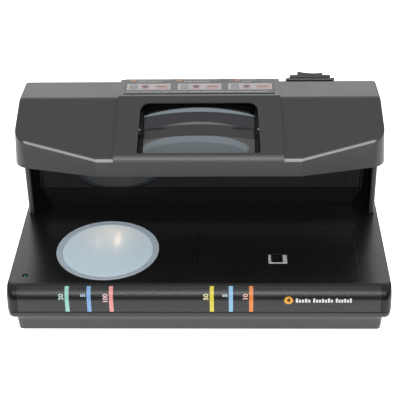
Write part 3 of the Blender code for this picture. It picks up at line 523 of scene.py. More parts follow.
def sheet_of(outline_shape, name, bend):
    """A flat ink shape, sliced finely, wrapped by a function onto its surface and given its thickness."""
    shape = outline_shape
    low = min(v.co.y for v in shape.verts)
    high = max(v.co.y for v in shape.verts)
    cut = low + 0.5 * MM
    while cut < high:
        bmesh.ops.bisect_plane(shape, geom=shape.verts[:] + shape.edges[:] + shape.faces[:],
                               plane_co=(0, cut, 0), plane_no=(0, 1, 0))
        cut += 0.5 * MM
    faces = shape.faces[:]
    flat = {v: v.co.copy() for v in shape.verts}
    upper = bmesh.ops.duplicate(shape, geom=shape.verts[:] + shape.edges[:] + faces)
    pairs = upper["vert_map"]
    edge_pairs = [(e.verts[0], e.verts[1]) for e in shape.edges if len(e.link_faces) == 1
                  and e.verts[0] in flat and e.verts[1] in flat]
    for start, end in edge_pairs:
        shape.faces.new((start, end, pairs[end], pairs[start]))
    for vert, spot in flat.items():
        vert.co = bend(spot.x, spot.y, 0.01 * MM)
        pairs[vert].co = bend(spot.x, spot.y, 0.01 * MM + INK_THICK)
    return show(name, mesh_from(shape, name, 40))


def nose_bend(x, along, lift):
    """Wraps ink round the nose."""
    y, z = on_nose(along, lift)
    return (x, y, z)


def patch(outlines):
    """A bmesh of flat filled outlines."""
    shape = bmesh.new()
    for outline in outlines:
        shape.faces.new([shape.verts.new((x, y, 0)) for x, y in outline])
    return shape


def numeral(text, size, matrix, align="CENTER"):
    """A flat bmesh of a number in a plain type, moved by a matrix."""
    curve = bpy.data.curves.new("numeral", "FONT")
    curve.body = text
    curve.size = size
    curve.align_x = align
    curve.align_y = "CENTER"
    curve.resolution_u = 3
    curve.offset = 0.035 * size
    obj = bpy.data.objects.new("numeral", curve)
    bpy.context.scene.collection.objects.link(obj)
    bpy.context.view_layer.update()
    mesh = bpy.data.meshes.new_from_object(obj.evaluated_get(bpy.context.evaluated_depsgraph_get()))
    bpy.data.objects.remove(obj, do_unlink=True)
    shape = bmesh.new()
    shape.from_mesh(mesh)
    bmesh.ops.remove_doubles(shape, verts=shape.verts, dist=0.005 * MM)
    bmesh.ops.transform(shape, matrix=matrix, verts=shape.verts)
    bpy.data.meshes.remove(mesh)
    return shape


BAR_WIDTH = 2.85 * MM
bar_top = arc_start + NOSE_RADIUS * math.radians(68)
threads = [("teal", "20", -91.9, (0.36, 0.73, 0.62)), ("blue", "5", -76.5, (0.25, 0.48, 0.82)),
           ("pink", "100", -60.9, (0.93, 0.38, 0.36)), ("yellow", "50", 9.4, (0.86, 0.76, 0.08)),
           ("pale_blue", "5", 22.7, (0.33, 0.63, 0.9)), ("orange", "10", 36.8, (0.97, 0.3, 0.08))]
number_top = arc_start + NOSE_RADIUS * math.radians(34)
step_middle = arc_start + NOSE_RADIUS * math.radians(4)
for shade, value, x, colour in threads:
    bar = patch([oblong(x * MM - BAR_WIDTH / 2, x * MM + BAR_WIDTH / 2, 0.1 * MM, bar_top)])
    fit(sheet_of(bar, f"thread_bar_{shade}", nose_bend), ink(f"ink_{shade}", colour), "gloss_label")
    reading_up = Matrix.Translation(((x - 3.9) * MM, number_top, 0)) @ Matrix.Rotation(math.pi / 2, 4, "Z")
    pale = tuple(0.45 + 0.55 * c for c in colour)
    fit(sheet_of(numeral(value, 4.7 * MM, reading_up, "RIGHT"), f"thread_value_{value}_{shade}", nose_bend),
        ink(f"ink_{shade}_pale", pale), "gloss_label")

SPOT_X, SPOT_RADIUS = 62.8 * MM, 3.1 * MM
spot_outline = arc(SPOT_X, step_middle, SPOT_RADIUS, 0, 360 - 360 / 40, 39)
spot_ink = ink("ink_amber", (0.95, 0.45, 0.05))
fit(sheet_of(patch([spot_outline]), "step_spot", nose_bend), spot_ink, "gloss_label")


def raised_bend(x, along, lift):
    """Ink printed over other ink."""
    return nose_bend(x, along, lift + 1.5 * INK_THICK)


dark_ink = ink("ink_black", (0.012, 0.01, 0.01))
step_digit = numeral("4", 4.6 * MM, Matrix.Translation((SPOT_X, step_middle, 0)))
fit(sheet_of(step_digit, "step_number", raised_bend), dark_ink, "gloss_label")

white_ink = ink("ink_white", (0.88, 0.88, 0.88))
STROKES = (1.0, 0.72, 0.72, 0.9, 0.7)


def greeked(lengths, x, y, height, gap):
    """Words stood in for by rows of plain strokes of uneven height, with no letters among them."""
    strokes = []
    for length in lengths:
        count = max(2, round(length / (0.62 * height)))
        pitch = length / count
        for i in range(count):
            left, foot = x + i * pitch, y - height / 2
            strokes.append(oblong(left, left + 0.72 * pitch, foot, foot + height * STROKES[i % len(STROKES)]))
        x += length + gap
    return patch(strokes)


step_words = greeked(mm(10.6, 14.2, 11.6), 67.8 * MM, step_middle, 3.4 * MM, 1.4 * MM)
fit(sheet_of(step_words, "step_words", nose_bend), white_ink, "gloss_label")


# Watermark light: a frosted polycarbonate disc in a grey translucent rim, lit from below by a warm lamp.
# The rim drops into the deck's stepped seat, and small welded pips hold the disc in it.

frosted_rim, tree, shader, coords = new_finish("frosted_rim", 0.32)
cloud = grain(tree, coords, 7 * MM, 3)
tree.links.new(tint(tree, cloud, (0.48, 0.57, 0.64), (0.52, 0.61, 0.68)), shader.inputs["Base Color"])
tree.links.new(spread(tree, cloud, 0.28, 0.42), shader.inputs["Roughness"])
raise_surface(tree, shader, [(grain(tree, coords, 0.5 * MM, 2), 0.012 * MM)])
shader.inputs["Subsurface Weight"].default_value = 0.15
shader.inputs["Subsurface Scale"].default_value = 2 * MM

radius = DISC_RADIUS / MM
top = disc_high.z / MM
low = disc_low.z / MM
ledge = DECK_Z / MM - 1 + GAP / MM
rim_profile = [(33.2, top - 0.62), (33.3, top - 0.5), (33.6, top - 0.42), (36.2, top - 0.3), (36.5, top - 0.15),
               (36.7, top - 0.04), (36.8, top), (radius - 0.2, top), (radius - 0.05, top - 0.1),
               (radius, top - 0.35), (radius, ledge), (35.2, ledge), (35.2, low), (33.2, low)]
rim = turned("disc_rim_ring", rim_profile, 128, closed=True)
rim.data.transform(Matrix.Translation(DISC))
fit(rim, frosted_rim, "grey_rim", "disc_rim")

# A painted highlight: a paler band laid all round the rim's outer top edge.
rim_edge_highlight = worn_surface("painted_highlight_rim_edge", (0.5, 0.56, 0.6), (0.6, 0.66, 0.7), (0.2, 0.34), (0.5, 0.01), 5)
bead_profile = [(36.7, top), (36.85, top + 0.05), (radius - 0.22, top + 0.05), (radius, top - 0.05),
                (radius, top - 0.2), (36.7, top - 0.2)]
bead = turned("disc_rim_bead", bead_profile, 128, closed=True)
bead.data.transform(Matrix.Translation(DISC))
fit(bead, rim_edge_highlight, "grey_rim")

frosted, tree, shader, coords = new_finish("frosted_disc", 0.3)
shader.inputs["Subsurface Weight"].default_value = 0.08
shader.inputs["Subsurface Scale"].default_value = 3 * MM
cloud = grain(tree, coords, 16 * MM, 3)
tree.links.new(tint(tree, cloud, (0.42, 0.5, 0.555), (0.44, 0.52, 0.575)), shader.inputs["Base Color"])
tree.links.new(spread(tree, grain(tree, coords, 5 * MM, 3), 0.26, 0.38), shader.inputs["Roughness"])
raise_surface(tree, shader, [(grain(tree, coords, 6 * MM, 2), 0.01 * MM)])


def glow(tree, coords, centre, reach_x, reach_y, strength):
    """A soft oval of lamp light on the disc: its brightness at each point."""
    mapping = tree.nodes.new("ShaderNodeMapping")
    mapping.vector_type = "TEXTURE"
    mapping.inputs["Location"].default_value = (centre.x, centre.y, centre.z)
    mapping.inputs["Scale"].default_value = (reach_x, reach_y, reach_x)
    tree.links.new(coords, mapping.inputs["Vector"])
    ball = tree.nodes.new("ShaderNodeTexGradient")
    ball.gradient_type = "QUADRATIC_SPHERE"
    tree.links.new(mapping.outputs["Vector"], ball.inputs["Vector"])
    scaled = tree.nodes.new("ShaderNodeMath")
    scaled.operation = "MULTIPLY"
    scaled.inputs[1].default_value = strength
    tree.links.new(ball.outputs["Fac"], scaled.inputs[0])
    return scaled.outputs["Value"]


def added(tree, first, second):
    """The sum of two values."""
    total = tree.nodes.new("ShaderNodeMath")
    total.operation = "ADD"
    tree.links.new(first, total.inputs[0])
    tree.links.new(second, total.inputs[1])
    return total.outputs["Value"]


disc_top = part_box("disc_diffuser")[1].z
light = None
# Each glow is its middle's place on the disc, its reach across and along, and its strength.
for x, y, reach_x, reach_y, strength in [(6.2, 13, 5, 18, 0.75), (6.2, 11, 14, 26, 0.25), (0, 24, 48, 48, 0.5),
                                         (-8.2, 9, 5, 15, 0.25)]:
    centre = DISC + Vector((x * MM, y * MM, disc_top))
    spot_light = glow(tree, coords, centre, reach_x * MM, reach_y * MM, strength)
    light = spot_light if light is None else added(tree, light, spot_light)
# Painted light: the frosted face glows pale blue all over, and warmer and brighter in the ovals, standing in
# for the lamp's light coming through it and for the shade the head casts on it.
painted_glow = tint(tree, light, (0.17, 0.21, 0.235), (0.7, 0.6, 0.49), 0, 1)
tree.links.new(painted_glow, shader.inputs["Emission Color"])
shader.inputs["Emission Strength"].default_value = 1.0

top = disc_top / MM
face_profile = [(0, top - 2.2), (32.6, top - 2.2), (32.9, top - 1.9), (32.9, top - 0.25), (32.65, top),
                (0, top)]
diffuser = turned("disc_frosted_face", face_profile, 128)
diffuser.data.transform(Matrix.Translation(DISC))
fit(diffuser, frosted, "frosted_diffuser", "disc_diffuser")

pip_shape = [(0, 0), (0.75, 0), (0.75, 0.1), (0.55, 0.2), (0, 0.22)]
for number, degrees in enumerate((88, 72, 4, 183, 271), 1):
    pip = turned(f"weld_pip_{number}", pip_shape, 20)
    reach = 34.6 * MM if number != 2 else 33.6 * MM
    spot = DISC + Vector((reach * math.cos(math.radians(degrees)), reach * math.sin(math.radians(degrees)),
                          disc_high.z - 0.45 * MM))
    pip.data.transform(Matrix.Translation(spot))
    fit(pip, frosted_rim, "grey_rim")

white_moulding = worn_surface("white_moulding", (0.72, 0.72, 0.69), (0.82, 0.82, 0.8), (0.4, 0.55), (0.4, 0.02))
refinish(white_moulding, "lamp_cup", "lamp_socket_left", "lamp_socket_right")

warm_glass, tree, shader, coords = new_finish("warm_lamp_glass", 0.12)
tree.links.new(tint(tree, grain(tree, coords, 2 * MM, 2), (0.85, 0.7, 0.42), (0.95, 0.86, 0.62)),
               shader.inputs["Base Color"])
shader.inputs["Emission Color"].default_value = (1.0, 0.75, 0.45, 1)
shader.inputs["Emission Strength"].default_value = 2.0
refinish(warm_glass, "lamp_bulb")


# Sensor plate: thin black sheet let into the deck's pocket, with a window for the magnetic head.
# The head is a bright metal case round a dark ferrite core, held up in its guide by a wire coil spring.

plate_outline = filleted(oblong(plate_low.x, plate_high.x, plate_low.y, plate_high.y), [2.7 * MM] * 4)
plate_level = Matrix.Translation((0, 0, plate_middle.z))
plate = flat_solid("sensor_plate_sheet", plate_outline, plate_size.z, plate_level)
head_low, head_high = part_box("magnetic_head")
head_middle = middle("magnetic_head")
head_window = brick("head_window", mm(14.6, 11.4, 8), (head_middle.x, head_middle.y, DECK_Z))
machined(plate, [("DIFFERENCE", head_window)], edge=0.3 * MM, degrees=50)
fit(plate, satin_black, "black_deck", "sensor_plate")

brushed, tree, shader, coords = new_finish("brushed_case", 0.3, 0.35)
strokes = grain(tree, coords, 0.25 * MM, 3, (1, 14, 14))
tree.links.new(tint(tree, strokes, (0.66, 0.67, 0.69), (0.84, 0.84, 0.85)), shader.inputs["Base Color"])
tree.links.new(spread(tree, strokes, 0.2, 0.42), shader.inputs["Roughness"])
raise_surface(tree, shader, [(strokes, 0.02 * MM)])

core_size, core_middle = size_of("head_core"), middle("head_core")
case = brick("magnetic_head_case", size_of("magnetic_head"), head_middle)
SLOT_LENGTH = 14 * MM
SLOT_FRONT = head_low.y + 0.9 * MM
core_slot = brick("core_slot", (core_size.x + 2 * GAP, SLOT_LENGTH, 8 * MM),
                  (core_middle.x, SLOT_FRONT + SLOT_LENGTH / 2, head_high.z))
shim_slot = brick("shim_slot", (0.4 * MM, SLOT_LENGTH, 1.2 * MM),
                  (head_high.x - 1.7 * MM, head_middle.y, head_high.z))
machined(case, [("DIFFERENCE", core_slot), ("DIFFERENCE", shim_slot)], edge=0.25 * MM, segments=3)
fit(case, brushed, "bright_metal", "magnetic_head", body="sprung_head")

ferrite = worn_surface("ferrite_core", (0.006, 0.006, 0.008), (0.014, 0.014, 0.017), (0.12, 0.3),
                       (0.3, 0.01), 3)
core_fore, core_rear = SLOT_FRONT + GAP, head_high.y - GAP
core = brick("magnetic_head_core", (core_size.x, core_rear - core_fore, core_size.z),
             (core_middle.x, (core_fore + core_rear) / 2, core_middle.z))
machined(core, edge=0.5 * MM, segments=4)
fit(core, ferrite, "black_plastic", "head_core", body="sprung_head")

spring_low, spring_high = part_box("head_spring")
spring_middle = middle("head_spring")
WIRE, TURNS, STEPS = 0.35 * MM, 4, 24
coil_radius = (spring_high.x - spring_low.x) / 2 - WIRE
climb = spring_high.z - spring_low.z - 2 * WIRE
coils = []
for step in range(TURNS * STEPS + 1):
    turn = 2 * math.pi * step / STEPS
    z = spring_low.z + WIRE + climb * step / (TURNS * STEPS)
    section = arc(coil_radius, z, WIRE, 0, 315, 7)
    coils.append([(spring_middle.x + reach * math.cos(turn), spring_middle.y + reach * math.sin(turn), height)
                  for reach, height in section])
spring = skin("head_coil_spring", coils)
fit(spring, brushed, "bright_metal", "head_spring")
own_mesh(spring)


# Indicator: a 3 mm green lamp pushed up through the deck's front corner from the board below.

led_low, led_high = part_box("indicator_led")
green_lamp, tree, shader, coords = new_finish("green_lamp", 0.12)
tree.links.new(tint(tree, grain(tree, coords, 1.5 * MM, 2), (0.004, 0.075, 0.032), (0.01, 0.13, 0.06)),
               shader.inputs["Base Color"])
tree.links.new(spread(tree, grain(tree, coords, 1 * MM, 1), 0.08, 0.2), shader.inputs["Roughness"])
dome = [(1.5 * math.cos(math.radians(a)), led_high.z / MM - 1.5 + 1.5 * math.sin(math.radians(a)))
        for a in range(0, 90, 10)]
lamp_profile = [(0, led_low.z / MM), (1.5, led_low.z / MM)] + dome + [(0, led_high.z / MM)]
lamp = turned("indicator_dome", lamp_profile, 32)
lamp.data.transform(Matrix.Translation((led.x, led.y, 0)))
fit(lamp, green_lamp, "led_green", "indicator_led")


# Electronics: a green board with its transformer and sounder, in the base under the deck.
# They are hidden in use, so they keep their plain shapes and get honest finishes.

solder_mask = worn_surface("solder_mask", (0.01, 0.06, 0.025), (0.02, 0.1, 0.045), (0.25, 0.4), (0.4, 0.01))
refinish(solder_mask, "main_board", "lamp_board")
laminate, tree, shader, coords = new_finish("core_laminations", 0.4, 1.0)
sheets = grain(tree, coords, 0.4 * MM, 1, (0.05, 0.05, 1))
tree.links.new(tint(tree, sheets, (0.2, 0.2, 0.21), (0.45, 0.45, 0.46)), shader.inputs["Base Color"])
raise_surface(tree, shader, [(sheets, 0.05 * MM)])
refinish(laminate, "transformer_core")
enamel = worn_surface("winding_enamel", (0.3, 0.1, 0.03), (0.55, 0.22, 0.08), (0.2, 0.4), (0.3, 0.04))
refinish(enamel, "transformer_winding")
# Black plastic for the parts in and behind the bay: its own black, made darker than the deck's black as painted
# shade for the bay under the head.
black_moulding = worn_surface("black_moulding", (0.0035, 0.0035, 0.004), (0.005, 0.005, 0.0055), (0.36, 0.44),
                              (0.35, 0.02))
black_moulding.node_tree.nodes["Principled BSDF"].inputs["Specular IOR Level"].default_value = 0.25
refinish(black_moulding, "sounder", "head_holder", "mains_inlet", "head_underside", "lens_well")
sleeve = worn_surface("wire_sleeve", (0.02, 0.02, 0.022), (0.035, 0.035, 0.038), (0.35, 0.5), (0.6, 0.02))
refinish(sleeve, "mains_lead", "switch_lead")
refinish(brushed, "lamp_reflector", *[f"tube_cap_{level}_{hand}" for level in ("lower", "upper")
                                                     for hand in ("left", "right")])
tube_glass, tree, shader, coords = new_finish("tube_glass", 0.1)
tree.links.new(tint(tree, grain(tree, coords, 20 * MM, 2), (0.4, 0.4, 0.5), (0.52, 0.52, 0.62)),
               shader.inputs["Base Color"])
tree.links.new(spread(tree, grain(tree, coords, 4 * MM, 2), 0.06, 0.16), shader.inputs["Roughness"])
refinish(tube_glass, "uv_tube_lower", "uv_tube_upper")
brass = worn_surface("brass_pins", (0.55, 0.38, 0.14), (0.68, 0.5, 0.22), (0.2, 0.35), (0.3, 0.01), 2, 1.0)
refinish(brass, "inlet_pin_1", "inlet_pin_2")


# Side walls: the two charcoal uprights that carry the head, rounded on their front edges.

for hand, side in (("left", -1), ("right", 1)):
    low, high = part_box(f"side_wall_{hand}")
    outer_front = max(abs(low.x), abs(high.x))
    taper = 0.033 * (high.y - low.y)
    plan = [(outer_front, low.y), (outer_front - taper, high.y), (outer_front - taper - 3.6 * MM, high.y),
            (outer_front - 4 * MM, low.y)]
    plan = [(side * x, y) for x, y in filleted(plan, [1.5 * MM, 0, 0, 0.9 * MM], 6)][::side]
    level = Matrix.Translation((0, 0, (low.z + high.z) / 2))
    wall = flat_solid(f"upright_{hand}", plan, high.z - low.z, level)
    machined(wall)
    fit(wall, charcoal, "charcoal_case", f"side_wall_{hand}")


# Bay wall: the black inner moulding at the back of the bay, with sloping corner facets under the lamp window.

wall_low, wall_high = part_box("bay_wall")
window_low, window_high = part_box("lamp_window")
bay_half = wall_high.x
FACET_REACH = 1.5 * MM
panel_front = wall_high.y - 2 * MM
bay = brick("bay_wall_panel", (2 * bay_half, 2 * MM, wall_high.z - wall_low.z),
            (0, panel_front + 1 * MM, (wall_low.z + wall_high.z) / 2))
steps = []
clear = 0.2 * MM
for hand, side in (("left", -1), ("right", 1)):
    edge, rear, fore = side * (bay_half - clear), panel_front + FACET_REACH, wall_low.y
    foot = [(edge, fore), (edge, rear), (side * 114 * MM, rear)]
    brow = [(edge, fore), (edge, rear), (side * 122.6 * MM, rear)]
    levels = [(foot, wall_low.z + clear), (brow, window_low.z), (brow, wall_high.z - clear)]
    steps.append(("UNION", skin(f"bay_facet_{hand}", [[(x, y, z) for x, y in plan] for plan, z in levels])))
opening_size = (2 * window_high.x + 0.8 * MM, 8 * MM, window_high.z - window_low.z + 0.6 * MM)
opening = brick("lamp_opening", opening_size, (0, panel_front, (window_low.z + window_high.z) / 2))
steps.append(("DIFFERENCE", opening))
machined(bay, steps, edge=0.3 * MM, degrees=50)
fit(bay, black_moulding, "black_plastic", "bay_wall")


# Lamp window: a sheet of dark ultraviolet-pass acrylic, flame polished, snapped into the bay wall.

dark_filter, tree, shader, coords = new_finish("dark_filter", 0.05)
tree.links.new(tint(tree, grain(tree, coords, 40 * MM, 2), (0.0025, 0.003, 0.006), (0.004, 0.0045, 0.009)),
               shader.inputs["Base Color"])
tree.links.new(spread(tree, grain(tree, coords, 9 * MM, 4), 0.03, 0.09), shader.inputs["Roughness"])
shader.inputs["IOR"].default_value = 1.55
pane = brick("lamp_window_pane", size_of("lamp_window"), middle("lamp_window"))
machined(pane, edge=0.5 * MM, segments=4)
fit(pane, dark_filter, "dark_filter", "lamp_window")


# Rear cover: a charcoal panel with cooling slots and the cut-out for the mains inlet, held by four screws.

cover_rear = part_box("rear_cover")[1].y
inlet = middle("mains_inlet")
upright = Matrix.Rotation(math.radians(90), 4, "X")
cover = brick("rear_cover_panel", size_of("rear_cover"), middle("rear_cover"))
steps = []
for number in range(9):
    slot = filleted(oblong(-1.5 * MM, 1.5 * MM, -13 * MM, 13 * MM), [1.4 * MM] * 4, 5)
    spot = Matrix.Translation(((number - 4) * 9 * MM - 20 * MM, cover_rear, 76 * MM))
    steps.append(("DIFFERENCE", flat_solid(f"slot_{number}", slot, 12 * MM, spot @ upright)))
steps.append(("DIFFERENCE", brick("inlet_hole", mm(22.6, 12, 14.6), (inlet.x, cover_rear, inlet.z))))
cover_spots = [middle(f"cover_screw_{number}") for number in range(1, 5)]
for number, spot in enumerate(cover_spots):
    steps.append(("DIFFERENCE", drum(f"seat_{number}", 3.4 * MM, 2.4 * MM, (0, 0, 0), 40,
                                     Matrix.Translation((spot.x, cover_rear, spot.z)) @ upright)))
machined(cover, steps, edge=0.4 * MM, degrees=50)
fit(cover, charcoal, "charcoal_case", "rear_cover")

cover_profile = [(0, 0.1), (1.4, 0), (2.3, 0.3), (2.9, 0.8), (2.9, 1.0), (1.4, 1.05), (1.4, 7.6), (0.8, 8.4),
                 (0, 8.4)]
for number, spot in enumerate(cover_spots, 1):
    seat = Matrix.Translation((spot.x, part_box(f"cover_screw_{number}")[1].y, spot.z))
    cross_screw(f"cover_screw_{number}_turned", f"cover_screw_{number}", cover_profile, seat @ upright, zinc)


# Head shell: the charcoal cover over the lamps, its fascia swept back at the ends and its sides drawn in.
# The front slope, flat top and rear slope are moulded in one, with softly rounded edges between them.

shell_low, shell_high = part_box("head_shell")
HEAD_Z = shell_low.z
TOP_Z = shell_high.z
FASCIA_Y = shell_low.y
HEAD_DRAFT = 0.06
FASCIA_TOP_Z = HEAD_Z + 12.8 * MM
CREASE_Y = FASCIA_Y + 43 * MM
TOP_BACK_Y = BACK - 18.3 * MM
REAR_EDGE_Z = TOP_Z - 11.9 * MM
FASCIA_FLAT = 73 * MM
SLOPE_ANGLE = math.atan2(TOP_Z - FASCIA_TOP_Z, CREASE_Y - FASCIA_Y)
REAR_ANGLE = math.atan2(REAR_EDGE_Z - TOP_Z, BACK - TOP_BACK_Y)


def head_side_x(y):
    """Half the head's width at a depth: it tapers to the rear."""
    return 134.5 * MM - 0.033 * (y - 5 * MM)


def offset_path(points, distance, closed=False):
    """Move an outline sideways, to the left of its direction, with mitred corners."""
    moved = []
    for i, point in enumerate(points):
        here = Vector(point)
        before = Vector(points[i - 1]) if closed or i > 0 else None
        after = Vector(points[(i + 1) % len(points)]) if closed or i < len(points) - 1 else None
        into = (here - before).normalized() if before is not None else (after - here).normalized()
        out = (after - here).normalized() if after is not None else into
        left_in, left_out = Vector((-into.y, into.x)), Vector((-out.y, out.x))
        mitre = (left_in + left_out).normalized()
        moved.append(tuple(here + mitre * distance / mitre.dot(left_in)))
    return moved


def head_plan(inset):
    """The head's outline from above, anticlockwise."""
    corner_x = head_side_x(1.7 * MM)
    corner_y = FASCIA_Y + 0.2324 * (corner_x - FASCIA_FLAT)
    right = [(FASCIA_FLAT, FASCIA_Y), (corner_x, corner_y), (head_side_x(BACK), BACK)]
    left = [(-x, y) for x, y in reversed(right)]
    corner = max(12 * MM - inset, 2 * MM)
    radii = [9 * MM, corner, 5 * MM, 5 * MM, corner, 9 * MM]
    return filleted(offset_path(right + left, inset, closed=True), radii, 14)


def head_blank(name, inset):
    """The head's whole outside, or its inside where inset is the wall."""
    below, above = 20 * MM, 50 * MM
    rings = [[(x, y, HEAD_Z + rise) for x, y in head_plan(inset + HEAD_DRAFT * rise)]
             for rise in (-below, above)]
    body = skin(name, rings)
    reach = 20 * MM
    path = [(FASCIA_Y - reach, FASCIA_TOP_Z - reach * math.tan(SLOPE_ANGLE)), (CREASE_Y, TOP_Z),
            (TOP_BACK_Y, TOP_Z), (BACK + reach, REAR_EDGE_Z + reach * math.tan(REAR_ANGLE))]
    side = [(path[0][0], HEAD_Z - 30 * MM)] + offset_path(path, -inset) + [(path[-1][0], HEAD_Z - 30 * MM)]
    tool = flat_solid(name + "_side", side[::-1], 300 * MM, SIDE_VIEW)
    return body, ("INTERSECT", tool)


def slope_matrix(along, depth=0.0, x=0.0):
    """A frame on the head's front slope: X across, Y up the slope, Z out of it."""
    return (Matrix.Translation((x, FASCIA_Y, FASCIA_TOP_Z)) @ Matrix.Rotation(SLOPE_ANGLE, 4, "X")
            @ Matrix.Translation((0, along, depth)))


def rear_matrix(along, depth=0.0, x=0.0):
    """A frame on the head's rear slope: X across, Y down the slope to the rear, Z out of it."""
    return (Matrix.Translation((x, TOP_BACK_Y, TOP_Z)) @ Matrix.Rotation(REAR_ANGLE, 4, "X")
            @ Matrix.Translation((0, along, depth)))


WINDOW_LENGTH = 41 * MM
WINDOW_MIDDLE = 5.4 * MM + WINDOW_LENGTH / 2
SWITCH_ALONG = 11 * MM
switch_middle = middle("switch_boss")
shell, side_cut = head_blank("head_cover", 0)
machined(shell, [side_cut], edge=2.1 * MM, segments=6, degrees=17)
hollow, hollow_side = head_blank("head_hollow", WALL)
machined(hollow, [hollow_side])
shell.modifiers.clear()
hollow.modifiers.clear()
machined(shell, [
    ("DIFFERENCE", brick("below_head", mm(320, 220, 60), (0, 30 * MM, HEAD_Z - 30 * MM))),
    ("DIFFERENCE", hollow),
    ("DIFFERENCE", brick("lens_hole", mm(96, 45, 20), (0, 0, 0), slope_matrix(WINDOW_MIDDLE))),
    ("DIFFERENCE", brick("switch_hole", mm(26.6, 12.6, 20), (0, 0, 0),
                         rear_matrix(SWITCH_ALONG, 0, switch_middle.x))),
], sharp=30)
# A painted highlight: the head's rounded front edges are lightened in colour where they face forwards and up at
# 21 degrees.
edge_highlight_painted = lightened(charcoal_moulding("charcoal_head"), 21, 0.955, 0.985, (0.33, 0.33, 0.34))
fit(shell, edge_highlight_painted, "charcoal_case", "head_shell")


# Magnifier: a domed acrylic lens held at its ends by black brackets, over a black well that hides the lamps.

LENS_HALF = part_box("magnifier_lens")[1].x
LENS_LENGTH = 43 * MM
LENS_EDGE = -5.6 * MM
LENS_RISE = 4.6 * MM
corner = math.hypot(LENS_HALF, LENS_LENGTH / 2)
dome_radius = (corner ** 2 + LENS_RISE ** 2) / (2 * LENS_RISE)
shape = bmesh.new()
ACROSS, UP = 48, 28


def lens_point(i, j, face):
    """One grid point on the lens's domed or flat face."""
    x, y = -LENS_HALF + 2 * LENS_HALF * i / ACROSS, -LENS_LENGTH / 2 + LENS_LENGTH * j / UP
    if face == "flat":
        return (x, y, LENS_EDGE - 1.4 * MM)
    return (x, y, LENS_EDGE + math.sqrt(dome_radius ** 2 - x ** 2 - y ** 2) - (dome_radius - LENS_RISE))


tops = [[shape.verts.new(lens_point(i, j, "dome")) for j in range(UP + 1)] for i in range(ACROSS + 1)]
border = ([(i, 0) for i in range(ACROSS)] + [(ACROSS, j) for j in range(UP)]
          + [(i, UP) for i in range(ACROSS, 0, -1)] + [(0, j) for j in range(UP, 0, -1)])
lows = {spot: shape.verts.new(lens_point(*spot, "flat")) for spot in border}
for i in range(ACROSS):
    for j in range(UP):
        shape.faces.new((tops[i][j], tops[i + 1][j], tops[i + 1][j + 1], tops[i][j + 1]))
for spot, after in zip(border, border[1:] + border[:1]):
    shape.faces.new((lows[spot], lows[after], tops[after[0]][after[1]], tops[spot[0]][spot[1]]))
shape.faces.new([lows[spot] for spot in reversed(border)])
lens = show("magnifier_dome", mesh_from(shape, "magnifier_dome", 30), slope_matrix(WINDOW_MIDDLE))

lens_acrylic, tree, shader, coords = new_finish("lens_acrylic", 0.08)
shader.inputs["IOR"].default_value = 1.49
across_slope = tree.nodes.new("ShaderNodeMapping")
across_slope.vector_type = "TEXTURE"
across_slope.inputs["Location"].default_value = (0, FASCIA_Y, FASCIA_TOP_Z)
across_slope.inputs["Rotation"].default_value = (SLOPE_ANGLE, 0, 0)
tree.links.new(coords, across_slope.inputs["Vector"])
split = tree.nodes.new("ShaderNodeSeparateXYZ")
tree.links.new(across_slope.outputs["Vector"], split.inputs["Vector"])


def sums(tree, operation, *values):
    """One arithmetic step on two or three values, each a socket or a number."""
    node = tree.nodes.new("ShaderNodeMath")
    node.operation = operation
    for socket, value in zip(node.inputs, values):
        if isinstance(value, (int, float)):
            socket.default_value = value
        else:
            tree.links.new(value, socket)
    return node.outputs["Value"]


def above_arc(crown, droop):
    """1 above an arc across the lens and 0 below it: its height in the middle, and its fall at the ends."""
    x_squared = sums(tree, "MULTIPLY", split.outputs["X"], split.outputs["X"])
    line = sums(tree, "MULTIPLY_ADD", x_squared, droop * MM / LENS_HALF ** 2, -crown * MM)
    return spread(tree, sums(tree, "ADD", split.outputs["Y"], line), 0, 1, -0.25 * MM, 0.25 * MM)


def in_oval(centre_x, centre_s, half_x, half_s):
    """1 inside an oval on the lens and 0 outside it."""
    x = sums(tree, "MULTIPLY_ADD", split.outputs["X"], 1 / (half_x * MM), -centre_x / half_x)
    along = sums(tree, "MULTIPLY_ADD", split.outputs["Y"], 1 / (half_s * MM), -centre_s / half_s)
    reach = sums(tree, "ADD", sums(tree, "MULTIPLY", x, x), sums(tree, "MULTIPLY", along, along))
    return spread(tree, reach, 1, 0, 0.94, 1.06)


def over(tree, below, factor, colour):
    """Lays a colour over another where the factor is 1."""
    mix = tree.nodes.new("ShaderNodeMix")
    mix.data_type = "RGBA"
    tree.links.new(factor, mix.inputs["Factor"])
    if isinstance(below, tuple):
        mix.inputs[6].default_value = (*below, 1)
    else:
        tree.links.new(below, mix.inputs[6])
    mix.inputs[7].default_value = (*colour, 1)
    return mix.outputs[2]


# From the fascia upwards, the lens's colour is painted with the light and shade seen in it: the oval of the
# ground back, the clear middle, its bright edge as a painted highlight, the upper part in painted shade and
# reflection with a painted shadow at each end, and the frosted flange along the top as a painted highlight.
painted_lens_view = tint(tree, grain(tree, coords, 8 * MM, 3), (0.075, 0.074, 0.077), (0.09, 0.088, 0.092))
zones = [(in_oval, (-3, 12, 38.5, 9.4), (0.17, 0.2, 0.22)), (in_oval, (-3, 9, 36, 7), (0.12, 0.145, 0.16)),
         (above_arc, (20.8, 1.5), (0.026, 0.025, 0.025)), (above_arc, (21.5, 1.4), (0.036, 0.034, 0.033)),
         (above_arc, (30, 2), (0.16, 0.148, 0.148)), (above_arc, (32, 7), (0.028, 0.028, 0.035)),
         (in_oval, (-31, 27.4, 8, 1.1), (0.004, 0.004, 0.004)),
         (in_oval, (31, 27.4, 8, 1.1), (0.004, 0.004, 0.004)),
         (above_arc, (40.6, 2.6), (0.22, 0.27, 0.29)), (above_arc, (44, 4.9), (0.004, 0.004, 0.004))]
for zone, place, colour in zones:
    painted_lens_view = over(tree, painted_lens_view, zone(*place), colour)
tree.links.new(painted_lens_view, shader.inputs["Base Color"])
tree.links.new(spread(tree, grain(tree, coords, 6 * MM, 3), 0.05, 0.12), shader.inputs["Roughness"])
fit(lens, lens_acrylic, "clear_lens", "magnifier_lens")

